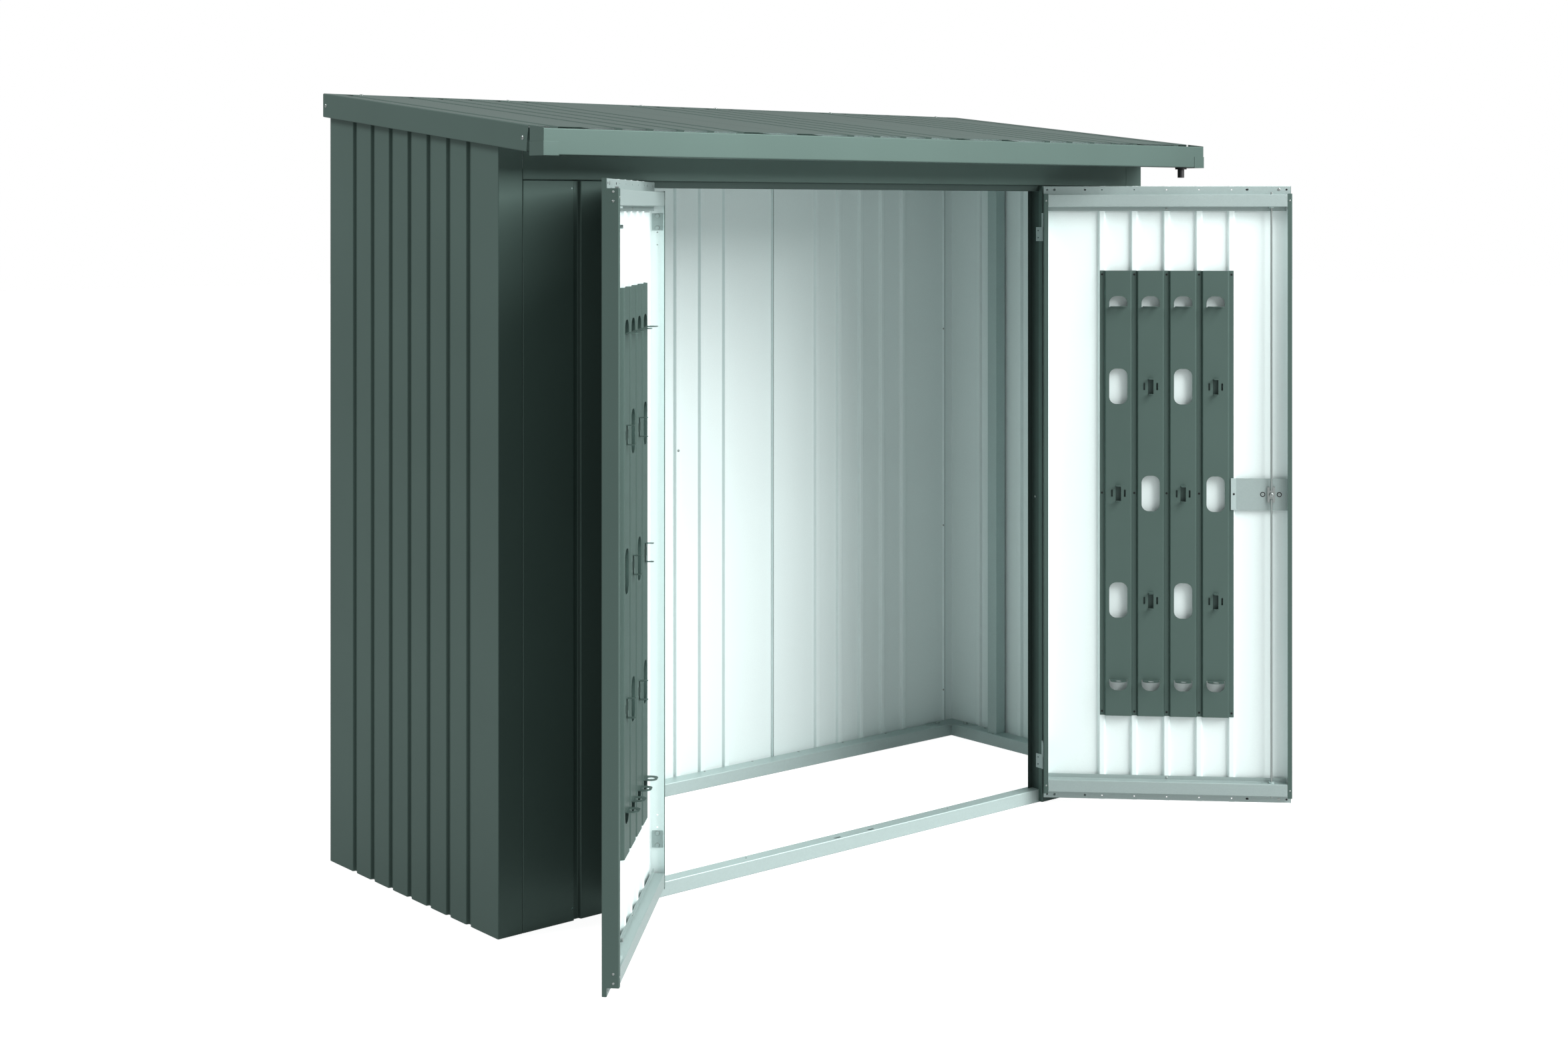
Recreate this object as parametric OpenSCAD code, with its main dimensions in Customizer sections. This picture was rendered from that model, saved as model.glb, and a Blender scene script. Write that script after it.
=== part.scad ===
// Log store: a steel lean-to of ribbed sheets on a galvanised frame, with a
// sloping roof, a front gutter and two hinged doors that carry tool boards.
// Lengths are in millimetres, angles in degrees.
// Origin: on the ground, in the middle of the rear lip under the back rail.
// +X is to the right as seen from the front, which looks along -Y, and +Z is up.
// The modules are drawn from the back face, and finish() moves it to y = lip_mid.
// A door is drawn in its own s, t, z: s runs from the hinge edge to the free
// edge, t from the outer face inward, and z is the height above the ground.

/* [Shed] */
// Depth from the back face to the front face
wall_d = 802; // [780:2:840]
// Height at the back, over the roof trim
roof_top = 1990; // [1975:5:2030]
// Slope of the roof
roof_pitch = 6.55; // [6:0.05:7]
// Gap between the ground and the wall sheets
wall_foot = 3; // [2:0.5:5]
// Width of one back wall or roof sheet, from seam to seam
panel_w = 722; // [716:1:726]
// Width of the side walls' return on the front
front_return = 68; // [60:1:74]
// Width of the side walls' return on the back
back_return = 42; // [40:1:60]

/* [Sheets] */
// Thickness of the painted sheets
sheet_t = 0.8; // [0.6:0.1:1.0]
// Thickness of the galvanised frame sections
frame_t = 1.5; // [1.2:0.1:2.0]
// Bend radius of the folded sheets
bend_r = 2.5; // [1.8:0.1:3]
// Spacing of the grooves
groove_pitch = 90.5; // [89:0.5:91.5]
// Width of a groove at the face of the sheet
groove_open = 20; // [18:0.5:22]
// Width of a groove's floor
groove_floor = 14; // [12:0.5:15]
// Depth of a groove
groove_depth = 10; // [8:0.5:10.5]
// Number of grooves in a side wall
side_grooves = 7; // [6:1:7]
// Number of grooves in a wide sheet or a door
panel_grooves = 5; // [3:2:5]

/* [Base frame] */
// Height of the base rails
rail_h = 37; // [34:0.5:40]
// Width of the back and side rails
rail_w = 50; // [44:1:60]
// Depth of the front rail
front_rail_w = 40; // [36:1:44]
// Width of the lips under the rails
rail_lip = 12; // [8:1:16]
// Leg of a corner gusset
gusset_leg = 120; // [100:5:140]
// Thickness of a corner gusset
gusset_t = 2; // [1.5:0.5:4]
// Size of the square side posts
post_w = 38; // [34:1:40]
// Distance of the side posts' centres from the back face
post_y = 231; // [225:1:240]
// Radius of an anchor hole in the front rail
anchor_r = 3; // [2.5:0.25:4]
// Distance between the two anchor holes
anchor_span = 716; // [680:4:760]

/* [Front] */
// Height of the header's lower edge
header_z = 1759; // [1740:1:1780]
// Height of the lintel lip under the header
lintel_drop = 17; // [14:0.5:20]
// Depth from the front face to the frame behind the doors
frame_inset = 13; // [12.8:0.1:14]
// Width of the flange behind a fixed front sheet
jamb_leg = 36; // [30:1:60]
// How far the door stop reaches into the opening
stop_reach = 15; // [10:1:18]
// Width of the stop strip
stop_w = 29; // [26:1:34]

/* [Roof] */
// Overhang of the roof beside each side wall
roof_overhang = 20; // [18:0.5:24]
// Distance from the back face to the gutter's back
gutter_back = 964; // [950:2:980]
// Thickness of the trims
trim_t = 0.8; // [0.6:0.1:1.0]
// Height of the trims
trim_h = 60; // [56:1:66]
// Width of the side trims' lip on the roof
trim_lip = 22; // [18:1:26]
// Height of the frame rails under the roof
roof_rail_h = 30; // [26:1:34]
// Width of the frame rails under the roof
roof_rail_w = 40; // [36:1:44]

/* [Gutter] */
// Depth of the gutter, front to back
gutter_w = 56; // [50:1:60]
// Height of the gutter's front
gutter_h = 60.5; // [56:0.5:64]
// Thickness of the gutter sheet
gutter_t = 1; // [0.8:0.1:1.2]
// Distance from the gutter's front to the edge of the roof sheets
gutter_mouth = 50; // [46:0.5:52]
// Length of a corner clip along the gutter
clip_l = 41; // [30:1:46]
// Height of a corner clip
clip_h = 31; // [24:1:40]
// Outer radius of the outlet tube
outlet_r = 9.5; // [8:0.25:11]
// Wall of the outlet tube
outlet_wall = 1.5; // [1:0.25:2.5]
// Length of the outlet tube below its flange
outlet_l = 24; // [18:1:30]
// Distance of the outlet from the end of the gutter
outlet_inset = 67; // [62:1:90]

/* [Doors] */
// Width of a door
door_w = 692; // [680:1:698]
// Thickness of a door
door_t = 38; // [34:0.5:38]
// Angle at which the doors stand open
door_open = 135; // [0:5:165]
// Gap between the hinge edge and the frame
hinge_gap = 3; // [2.6:0.1:4]
// Gap between the two doors
centre_gap = 6; // [4:0.5:8]
// Gap over a door
door_gap = 3; // [2:0.5:5]
// Height of a door's lower edge
door_foot = 21; // [18:1:24]
// Width of the lips on the inner face of a door
door_lip = 13; // [11:0.5:15]
// Thickness of the cross channels
channel_t = 1; // [0.8:0.1:1.2]
// Height of a cross channel's box
channel_h = 34; // [28:1:40]
// Height of the strip over a cross channel's box
channel_drop = 24; // [22:0.5:28]

/* [Hinges] */
// Radius of a hinge pin
pin_r = 2.5; // [2:0.1:2.5]
// Radial clearance of a turning fit
turn_gap = 0.05; // [0.03:0.01:0.08]
// Outer radius of a hinge knuckle
knuckle_r = 3.4; // [3.3:0.05:3.5]
// Distance of the hinge pin in front of the doors
pin_front = 3.5; // [3.5:0.1:4.5]
// Height of one half of a hinge
hinge_h = 40; // [34:1:44]
// Width of a hinge leaf
leaf_w = 26; // [22:1:30]
// Thickness of a hinge leaf
leaf_t = 1.5; // [1.1:0.1:1.5]
// Distance of a hinge's middle from the ends of a door
hinge_end = 118; // [112:1:160]

/* [Tool boards] */
// Height of a tool board
board_h = 1258; // [1240:2:1280]
// Thickness of a tool board
board_t = 1.2; // [1:0.1:1.5]
// Depth of a tool board's folds
board_rise = 9.2; // [8:0.1:11]
// Width of a tool board's floors
board_floor = 12; // [11:0.5:13]
// Distance of the outer rows of holes from the middle
row_far = 541.5; // [530:0.5:560]
// Distance of the inner rows of holes from the middle
row_near = 302; // [280:1:330]
// Width of the large holes
hole_w = 51; // [46:1:54]
// Height of the slots
slot_h = 100; // [80:1:110]
// Height of the round-topped holes
dee_h = 31; // [28:1:36]
// Radius of the large holes' corners
hole_r = 20; // [14:1:22]
// Length of the ring tabs
ring_l = 30; // [26:1:36]
// Radius of the hole in a ring tab
ring_r = 9; // [7:0.5:10]
// Width of a hook's hole
hook_w = 15; // [12:1:18]
// Height of a hook's hole
hook_h = 47; // [40:1:54]
// Length of a hook
hook_l = 21; // [16:1:26]

/* [Locks] */
// Distance of the lock's axis from the free edge of a door
lock_in = 56; // [52:1:60]
// Depth of the bolts' axis behind the outer face of a door
bolt_t = 24; // [23.8:0.1:26]
// Radius of the locking rods
rod_r = 3; // [2.5:0.25:3]
// Distance of a rod's inner end from the spindle
rod_end = 13; // [11:0.5:16]
// Distance between a drawn bolt and the frame
bolt_clear = 3.5; // [2:0.5:4]
// Radius of the spindle
spindle_r = 4; // [3.5:0.25:4.5]
// Width of the flat bolts
flat_w = 18; // [15:0.5:18]
// Thickness of the flat bolts
flat_t = 6; // [4:0.5:6]
// Side play of the flat bolts
flat_gap = 0.3; // [0.3:0.05:0.5]
// Length of the flat bolts
flat_l = 100; // [95:1:120]
// Height of the lock plate
plate_h = 89; // [80:1:110]
// Thickness of the lock plate
plate_t = 1.5; // [1.2:0.1:2]
// Length of the outside handle
grip_l = 96; // [80:1:100]
// Height of the cam
cam_h = 43.5; // [38:0.5:46]
// Width of the cam
cam_w = 21.4; // [18:0.1:24]
// Thickness of the cam
cam_t = 5; // [3:0.25:5]

/* [Hidden] */
$fn = 48;
// Straight steps in a bend
bend_steps = 3;
// Length that outruns the whole shed
big = 3200;

// Colours
paint = [0.36, 0.44, 0.42];
paint_dark = [0.23, 0.28, 0.27];
zinc = [0.80, 0.84, 0.83];
pale = [0.84, 0.87, 0.86];
steel = [0.70, 0.72, 0.72];
black = [0.06, 0.06, 0.06];

// Walls
back_seam = 1.5 * panel_w;
wall_half = back_seam + back_return;
rib_in = groove_depth + sheet_t;
frame_x = wall_half - rib_in;
front_seam = wall_half - front_return;
lip_mid = rib_in + rail_lip / 2;
side_mid = -wall_d / 2;
frame_front = -wall_d + frame_inset;
open_half = door_w + hinge_gap + centre_gap / 2;
front_groove = panel_w + (panel_grooves - 1) / 2 * groove_pitch;
lintel_z = header_z - lintel_drop;
panel_top = header_z - 2;
stop_y = -wall_d + door_t + 2;

// Roof
roof_skin_z = roof_top - trim_t / cos(roof_pitch);
roof_half = wall_half + roof_overhang;
roof_edge = roof_half - bend_r;
gutter_front = gutter_back + gutter_w;
gutter_rim = roof_top - gutter_front * tan(roof_pitch) - 1;
gutter_z = gutter_rim - gutter_h;
roof_front = gutter_front - gutter_mouth;
back_trim_z = roof_top - trim_h;
purlin_h = roof_rail_h - frame_t - 0.3;

// Doors
door_top = header_z - door_gap;
door_h = door_top - door_foot;
door_mid = (door_top + door_foot) / 2;
edge_foot = rail_h + 3;
edge_top = lintel_z - 7.5;
pin_x = open_half - hinge_gap / 2;
pin_y = wall_d + pin_front;
rib_mid = door_w / 2;
board_w = (panel_grooves - 1) * groove_pitch + board_floor;
board_s = rib_mid - board_w / 2;
board_in = rib_in + board_rise;
board_face = board_in + board_t;
floor_face = rib_in + board_t;
strip_in = rib_in + channel_t;
channel_top = door_top - channel_drop;
channel_foot = channel_top - channel_h;
lock_s = door_w - lock_in;
plate_in = floor_face;
plate_face = plate_in + plate_t;
cam_in = plate_face + 2;
bolt_tip = lintel_z - bolt_clear;
bolt_foot = rail_h + 1.5;
rod_gap = 0.4;
slot_w = flat_w + 4;
slot_d = flat_t + 3;
hinge_top = door_top - hinge_end + 2;
hinge_low = door_foot + hinge_end;

// Points and outlines
function unit(v) = v / norm(v);
function left_of(v) = [-v[1], v[0]];
function turn(a) = a > 180 ? a - 360 : a < -180 ? a + 360 : a;
function centres(n) = [for (i = [n - 1:-1:0]) (i - (n - 1) / 2) * groove_pitch];

// Points of the arc that rounds corner b between a and c
function bend_pts(a, b, c, r) =
    let (u = unit(a - b), w = unit(c - b), half = acos(u * w) / 2,
        hub = b + unit(u + w) * r / sin(half),
        p = b + u * r / tan(half) - hub,
        q = b + w * r / tan(half) - hub,
        from = atan2(p[1], p[0]),
        sweep = turn(atan2(q[1], q[0]) - from))
    [for (i = [0:bend_steps]) hub + r
        * [cos(from + sweep * i / bend_steps), sin(from + sweep * i / bend_steps)]];

function rounded(path, r) = concat([path[0]],
    [for (i = [1:len(path) - 2]) each bend_pts(path[i - 1], path[i], path[i + 1], r)],
    [path[len(path) - 1]]);

// Point i of the path moved t to the left, mitred at bends
function moved(path, i, t) =
    let (last = len(path) - 1,
        before = unit(i > 0 ? path[i] - path[i - 1] : path[1] - path[0]),
        after = unit(i < last ? path[i + 1] - path[i] : path[last] - path[last - 1]),
        n = left_of(before), m = unit(n + left_of(after)))
    path[i] + m * t / (m * n);

// Outline of a sheet whose one face follows the path; t > 0 lies to the left
function outline(path, t) =
    concat(path, [for (i = [len(path) - 1:-1:0]) moved(path, i, t)]);

// The four corners of a groove: place along the sheet and depth
function groove(c, way) = [
    [c - way * groove_open / 2, 0], [c - way * groove_floor / 2, groove_depth],
    [c + way * groove_floor / 2, groove_depth], [c + way * groove_open / 2, 0]];

// Grooves of a sheet that runs towards -X with its inner side below
function back_grooves(list) =
    [for (c = list) each [for (p = groove(c, -1)) [p[0], -p[1]]]];

// Height of a plane that lies this far under the roof sheets' outer face
function roof_z(y, below) =
    roof_skin_z + y * tan(roof_pitch) - below / cos(roof_pitch);

// Sets a piece in the row's frame and gives it its colour
module finish(c) {
    color(c)
        translate([0, lip_mid, 0])
            children();
}

// A folded sheet drawn in plan and raised by h
module sheet(path, t, h, r = bend_r) {
    linear_extrude(h)
        polygon(outline(len(path) > 2 ? rounded(path, r) : path, t));
}

// A section drawn in Y and Z, drawn out along +X
module along_x(h) {
    rotate([90, 0, 90])
        linear_extrude(h)
            children();
}

// A folded section from x = -half to x = half
module bar_x(path, t, half) {
    translate([-half, 0, 0])
        along_x(2 * half)
            polygon(outline(rounded(path, bend_r), t));
}

// A round piece along +X, or along +Y, from where it is placed
module disc_x(r, h) {
    rotate([0, 90, 0])
        cylinder(r = r, h = h);
}

module disc_y(r, h) {
    rotate([-90, 0, 0])
        cylinder(r = r, h = h);
}

module both() {
    children();
    mirror([1, 0, 0])
        children();
}

// The roof's own frame: X across, Y up the slope, Z square to the sheets
module on_roof() {
    translate([0, 0, roof_skin_z])
        rotate([roof_pitch, 0, 0])
            children();
}

module under_roof(below) {
    intersection() {
        children();
        on_roof()
            translate([-big / 2, 300 - big, -big - below])
                cube(big);
    }
}

// Keeps what lies between two distances from the back face
module between(near, far) {
    intersection() {
        children();
        translate([-big / 2, -far, 0])
            cube([big, far - near, big]);
    }
}

// Places a door's s, t, z; side is 1 for the right door, -1 for the left
module on_door(side) {
    translate([side * pin_x, -pin_y, 0])
        rotate([0, 0, side * door_open])
            translate([-side * hinge_gap / 2, pin_front, 0])
                mirror([side > 0 ? 1 : 0, 0, 0])
                    children();
}

// The same thing at the top and, turned over, at the bottom of a door
module ends() {
    children();
    translate([0, 0, 2 * door_mid])
        mirror([0, 0, 1])
            children();
}

// Cuts through a door from its inner side, centred on s and z
module punch(s, z) {
    translate([s, 2 * door_t, z])
        rotate([90, 0, 0])
            linear_extrude(2 * door_t + 5)
                children();
}

module round_rect(w, h, r) {
    square([w - 2 * r, h], center = true);
    square([w, h - 2 * r], center = true);
    for (x = [-1, 1], y = [-1, 1])
        translate([x * (w / 2 - r), y * (h / 2 - r)])
            circle(r);
}

// Round-topped shape that stands on the middle of its straight edge
module dee(w, h, r) {
    translate([-w / 2, 0])
        square([w, h - r]);
    translate([-w / 2 + r, 0])
        square([w - 2 * r, h]);
    for (x = [-1, 1])
        translate([x * (w / 2 - r), h - r])
            circle(r);
}

// Base frame
module base_rail_front() {
    finish(zinc)
        difference() {
            bar_x([[frame_front + rail_lip, 0], [frame_front, 0],
                [frame_front, rail_h], [frame_front + front_rail_w, rail_h],
                [frame_front + front_rail_w, rail_h - 15]], -frame_t, frame_x);
            for (side = [-1, 1]) {
                translate([side * (open_half - hinge_gap - lock_s) - slot_w / 2,
                    -wall_d + bolt_t - slot_d / 2, rail_h / 2])
                    cube([slot_w, slot_d, rail_h]);
                translate([side * anchor_span / 2, frame_front + 24, rail_h / 2])
                    cylinder(r = anchor_r, h = rail_h);
            }
        }
}

// Hat-shaped rail section with its outer face at a
function hat(a, way) = [[a - way * rail_lip, 0], [a, 0], [a, rail_h],
    [a - way * rail_w, rail_h], [a - way * rail_w, 0],
    [a - way * (rail_w - rail_lip), 0]];

module base_rail_back() {
    finish(zinc)
        bar_x(hat(-rib_in, 1), frame_t, frame_x);
}

module base_rails_side() {
    near = rib_in + rail_w;
    far = -frame_front - front_rail_w;
    finish(zinc)
        both()
            translate([0, -near, 0])
                rotate([90, 0, 0])
                    linear_extrude(far - near)
                        polygon(outline(rounded(hat(frame_x, 1), bend_r), frame_t));
}

module gusset(x, y, turn_by) {
    translate([x, y, rail_h])
        rotate([0, 0, turn_by])
            children();
}

module at_gussets() {
    edge = 2;
    gusset(frame_x - edge, -rib_in - edge, 180)
        children();
    gusset(frame_x - edge, frame_front + edge, 90)
        children();
    gusset(-frame_x + edge, -rib_in - edge, 270)
        children();
    gusset(-frame_x + edge, frame_front + edge, 0)
        children();
}

module base_gussets() {
    finish(black)
        at_gussets()
            linear_extrude(gusset_t)
                polygon([[0, 0], [gusset_leg, 0], [gusset_leg, 8],
                    [8, gusset_leg], [0, gusset_leg]]);
}

module bolt_head(r, h) {
    cylinder(r = r, h = h, $fn = 6);
}

module base_bolts() {
    finish(steel) {
        at_gussets()
            for (p = [[18, 0.68 * gusset_leg], [0.68 * gusset_leg, 18]])
                translate([p[0], p[1], gusset_t])
                    bolt_head(7.5, 5);
        both()
            for (y = [-9, 9])
                translate([frame_x - (post_w + rail_w) / 2, -post_y + y, rail_h])
                    cylinder(r = 3.5, h = 3);
    }
}

// Walls
right_wall = concat(
    [[front_seam, -wall_d + rib_in], [front_seam, -wall_d], [wall_half, -wall_d]],
    [for (c = [side_grooves - 1:-1:0]) each [for (p = groove(side_mid
        + ((side_grooves - 1) / 2 - c) * groove_pitch, 1)) [wall_half - p[1], p[0]]]],
    [[wall_half, 0], [back_seam, 0], [back_seam, -rib_in]]);

module side_wall() {
    difference() {
        under_roof(sheet_t)
            translate([0, 0, wall_foot])
                sheet(right_wall, sheet_t, roof_top);
        // Passes under the roof's outer groove
        on_roof()
            translate([0, 300 - big, -rib_in])
                cube([back_seam + groove_open / 2 + bend_r, big, 100]);
        // Makes room for the back trim
        translate([0, -trim_t - 0.4, back_trim_z])
            cube([big, 50, big]);
    }
}

module side_wall_right() {
    finish(paint)
        side_wall();
}

module side_wall_left() {
    finish(paint)
        mirror([1, 0, 0])
            side_wall();
}

wide_sheet = concat([[panel_w / 2, -rib_in], [panel_w / 2, 0]],
    back_grooves(centres(panel_grooves)),
    [[-panel_w / 2, 0], [-panel_w / 2, -rib_in]]);

module back_panel(n) {
    finish(pale)
        translate([n * panel_w, 0, wall_foot])
            sheet(wide_sheet, sheet_t, back_trim_z - wall_foot);
}

module back_panel_left() {
    back_panel(-1);
}

module back_panel_mid() {
    back_panel(0);
}

module back_panel_right() {
    back_panel(1);
}

front_sheet = concat(
    [[open_half, frame_front], [open_half, -wall_d]],
    [for (p = groove(front_groove, 1)) [p[0], p[1] - wall_d]],
    [[front_seam, -wall_d], [front_seam, -wall_d + rib_in]]);

module front_panel() {
    difference() {
        translate([0, 0, wall_foot])
            sheet(front_sheet, sheet_t, panel_top - wall_foot);
        for (z = [wall_foot + 30, panel_top - 17])
            translate([front_groove + groove_open / 2 + 5, -wall_d - 5, z])
                disc_y(2.5, 20);
    }
}

module front_panel_right() {
    finish(paint)
        front_panel();
}

module front_panel_left() {
    finish(paint)
        mirror([1, 0, 0])
            front_panel();
}

module header() {
    inner = stop_y;
    finish(paint)
        bar_x([[inner, roof_z(inner, rib_in)], [-wall_d, roof_z(-wall_d, rib_in)],
            [-wall_d, header_z], [frame_front, header_z]], frame_t, front_seam);
}

module lintel() {
    finish(paint_dark)
        difference() {
            bar_x([[frame_front, header_z + 26], [frame_front, lintel_z],
                [stop_y, lintel_z], [stop_y, lintel_z + 28]], frame_t, front_seam);
            for (side = [-1, 1])
                translate([side * (open_half - hinge_gap - lock_s) - slot_w / 2,
                    -wall_d + bolt_t - slot_d / 2, lintel_z - 5])
                    cube([slot_w, slot_d, 10]);
        }
}

module jambs() {
    back_of_sheet = -wall_d + sheet_t;
    face = open_half + sheet_t;
    finish(paint_dark)
        both()
            translate([0, 0, rail_h])
                sheet([[face + jamb_leg, back_of_sheet], [face, back_of_sheet],
                    [face, stop_y]], -frame_t, lintel_z - rail_h);
}

module door_stops() {
    finish(paint_dark)
        both()
            translate([open_half - stop_reach, stop_y, rail_h])
                cube([stop_w, frame_t, lintel_z - rail_h]);
}

// Posts and roof frame
module side_posts() {
    finish(zinc)
        under_roof(rib_in + roof_rail_h)
            both()
                translate([frame_x - post_w / 2, -post_y, rail_h])
                    linear_extrude(roof_top)
                        difference() {
                            square(post_w, center = true);
                            square(post_w - 2 * frame_t, center = true);
                        }
}

module roof_rail_back() {
    inner = -rib_in - roof_rail_w;
    finish(zinc)
        bar_x([[inner, roof_z(inner, rib_in)], [-rib_in, roof_z(-rib_in, rib_in)],
            [-rib_in, back_trim_z - 15]], -frame_t, frame_x);
}

module roof_rails_side() {
    finish(zinc)
        between(rib_in + roof_rail_w + 0.3, -stop_y - 0.3)
            on_roof()
                both()
                    rotate([90, 0, 0])
                        sheet([[frame_x - roof_rail_w, -rib_in], [frame_x, -rib_in],
                            [frame_x, -rib_in - roof_rail_h]], -frame_t, big / 2);
}

module purlin() {
    half = frame_x - frame_t - 0.3;
    finish(zinc)
        on_roof()
            translate([-half, -post_y / cos(roof_pitch) - 3, -rib_in - roof_rail_h])
                along_x(2 * half)
                    difference() {
                        translate([-post_w / 2, 0])
                            square([post_w, purlin_h]);
                        translate([frame_t - post_w / 2, frame_t])
                            square([post_w - 2 * frame_t, purlin_h - 2 * frame_t]);
                    }
}

// Roof
module roof_sheet(path) {
    finish(paint)
        on_roof()
            translate([0, -3, 0])
                rotate([90, 0, 0])
                    sheet(path, sheet_t, roof_front / cos(roof_pitch) - 3);
}

side_roof = concat([[roof_edge, 0]],
    back_grooves(concat([back_seam], [for (c = centres(panel_grooves)) c + panel_w])),
    [[panel_w / 2, 0], [panel_w / 2, -rib_in]]);

module roof_panel_right() {
    roof_sheet(side_roof);
}

module roof_panel_left() {
    mirror([1, 0, 0])
        roof_sheet(side_roof);
}

module roof_panel_mid() {
    roof_sheet(wide_sheet);
}

module roof_trim_back() {
    finish(paint) {
        bar_x([[-25, roof_z(-25, -trim_t)], [0, roof_z(0, -trim_t)],
            [0, back_trim_z]], -trim_t, roof_half - trim_lip);
        translate([-roof_half, -trim_t, back_trim_z])
            cube([2 * roof_half, trim_t, trim_h - bend_r]);
    }
}

module roof_trims_side() {
    finish(paint)
        between(trim_t, gutter_back)
            on_roof()
                both()
                    translate([0, 50, 0])
                        rotate([90, 0, 0])
                            sheet([[roof_half - 12, -trim_h], [roof_half, -trim_h],
                                [roof_half, trim_t], [roof_half - trim_lip, trim_t]],
                                trim_t, big / 2);
}

// Gutter
gutter_end = roof_half - gutter_t;
outlet_x = roof_half - outlet_inset;
outlet_y = -gutter_back - gutter_w / 2;

// The gutter's walls stand on its floor, so they are solids of their own
module gutter() {
    finish(paint)
        difference() {
            under_roof(rib_in)
                bar_x([[8 - gutter_front, gutter_rim], [-gutter_front, gutter_rim],
                    [-gutter_front, gutter_z], [-gutter_back, gutter_z],
                    [-gutter_back, gutter_z + big / 20]], gutter_t, gutter_end);
            translate([outlet_x, outlet_y, gutter_z - 5])
                cylinder(r = outlet_r, h = 10);
            translate([-big / 2, -big, gutter_z + bend_r])
                cube([big, big, 0.05]);
        }
}

module gutter_end_caps() {
    finish(paint)
        both()
            translate([gutter_end, 0, 0])
                along_x(gutter_t)
                    polygon([[-gutter_front, gutter_z], [-gutter_back, gutter_z],
                        [-gutter_back, roof_z(-gutter_back, -trim_t)],
                        [-gutter_front, roof_z(-gutter_front, -trim_t)]]);
}

module gutter_clips() {
    wall = 1.2;
    finish(paint)
        both()
            difference() {
                translate([roof_half - clip_l, -gutter_front - wall, gutter_z - wall])
                    cube([clip_l + wall, gutter_w + wall, clip_h + wall]);
                translate([0, -gutter_front, gutter_z])
                    cube([roof_half, big, big]);
            }
}

module gutter_outlet() {
    flange = 5.5;
    finish(black)
        translate([outlet_x, outlet_y, gutter_z])
            difference() {
                union() {
                    translate([0, 0, -flange])
                        cylinder(r = outlet_r + 7, h = flange);
                    translate([0, 0, -flange - outlet_l])
                        cylinder(r = outlet_r, h = flange + outlet_l + gutter_t);
                }
                translate([0, 0, -flange - outlet_l - 5])
                    cylinder(r = outlet_r - outlet_wall, h = 2 * outlet_l + 20);
            }
}

// Small heads that fasten the sheets
module sheet_screws() {
    finish(steel) {
        both() {
            for (f = [0.07, 0.346, 0.676]) {
                translate([panel_w / 2 + sheet_t, -rib_in / 2, f * back_trim_z])
                    disc_x(3, 2);
                translate([back_seam - sheet_t - 2, -rib_in / 2, f * back_trim_z])
                    disc_x(3, 2);
            }
            translate([open_half + sheet_t - 1.2, stop_y - 12, door_mid - 18])
                disc_x(3, 1.2);
            for (y = [14, gutter_back - 29])
                translate([roof_half, -y, roof_z(-y, trim_h / 2)])
                    disc_x(5, 2.2);
            for (f = [0.119, 0.514, 0.909])
                on_roof()
                    translate([f * roof_half, -13, trim_t + 0.02])
                        cylinder(r = 5, h = 2.2);
            for (i = [0:4])
                translate([(i + 0.5) * 2 * groove_pitch, -rib_in - 9, rail_h])
                    cylinder(r = 3.5, h = 2);
            for (y = [-rib_in - 160, side_mid, frame_front + 200])
                translate([frame_x - 9, y, rail_h])
                    cylinder(r = 3.5, h = 2);
        }
        translate([0, -rib_in - 2, 0.511 * back_trim_z])
            disc_y(4, 2);
    }
}

// Hinges on the frame: a leaf, a knuckle and the pin that stands on it
module frame_hinges() {
    for (z = [hinge_low - hinge_h, hinge_top - hinge_h])
        translate([pin_x, -pin_y, z]) {
            difference() {
                union() {
                    cylinder(r = knuckle_r, h = hinge_h - 0.3);
                    translate([hinge_gap / 2 - leaf_t, 0, 0])
                        cube([leaf_t, leaf_w, hinge_h - 0.3]);
                }
                for (u = [hinge_h / 4, hinge_h * 3 / 4])
                    translate([-5, leaf_w - 8, u])
                        disc_x(2.2, 15);
            }
            translate([0, 0, hinge_h - 1])
                cylinder(r = pin_r, h = hinge_h - 1);
        }
}

module frame_hinges_right() {
    finish(zinc)
        frame_hinges();
}

module frame_hinges_left() {
    finish(zinc)
        mirror([1, 0, 0])
            frame_hinges();
}

// Doors: a ribbed skin with short returns
door_sheet = concat([[0, rib_in], [0, 0]],
    [for (i = [panel_grooves - 1:-1:0])
        each groove(rib_mid - centres(panel_grooves)[panel_grooves - 1 - i], 1)],
    [[door_w, 0], [door_w, rib_in]]);

module door_skin(side) {
    finish(paint)
        on_door(side)
            difference() {
                translate([0, 0, door_foot])
                    sheet(door_sheet, sheet_t, door_h);
                for (c = centres(panel_grooves))
                    ends()
                        punch(rib_mid + c, door_top - 10)
                            circle(2);
                if (side > 0)
                    punch(lock_s, door_mid)
                        circle(2 * spindle_r);
            }
}

module left_door_skin() {
    door_skin(-1);
}

module right_door_skin() {
    door_skin(1);
}

// Folded edges behind the skin's returns, with a lip on the inner face
module door_edge() {
    translate([0, 0, edge_foot])
        sheet([[0, rib_in], [0, door_t], [door_lip, door_t]], -sheet_t,
            edge_top - edge_foot);
}

module door_edges(side) {
    finish(paint)
        on_door(side) {
            difference() {
                door_edge();
                for (z = [hinge_top - 6, hinge_top - 36, hinge_low + 48, hinge_low + 78])
                    translate([-5, door_t / 2, z])
                        disc_x(2, 20);
            }
            translate([door_w, 0, 0])
                mirror([1, 0, 0])
                    door_edge();
        }
}

module left_door_edges() {
    door_edges(-1);
}

module right_door_edges() {
    door_edges(1);
}

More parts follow.
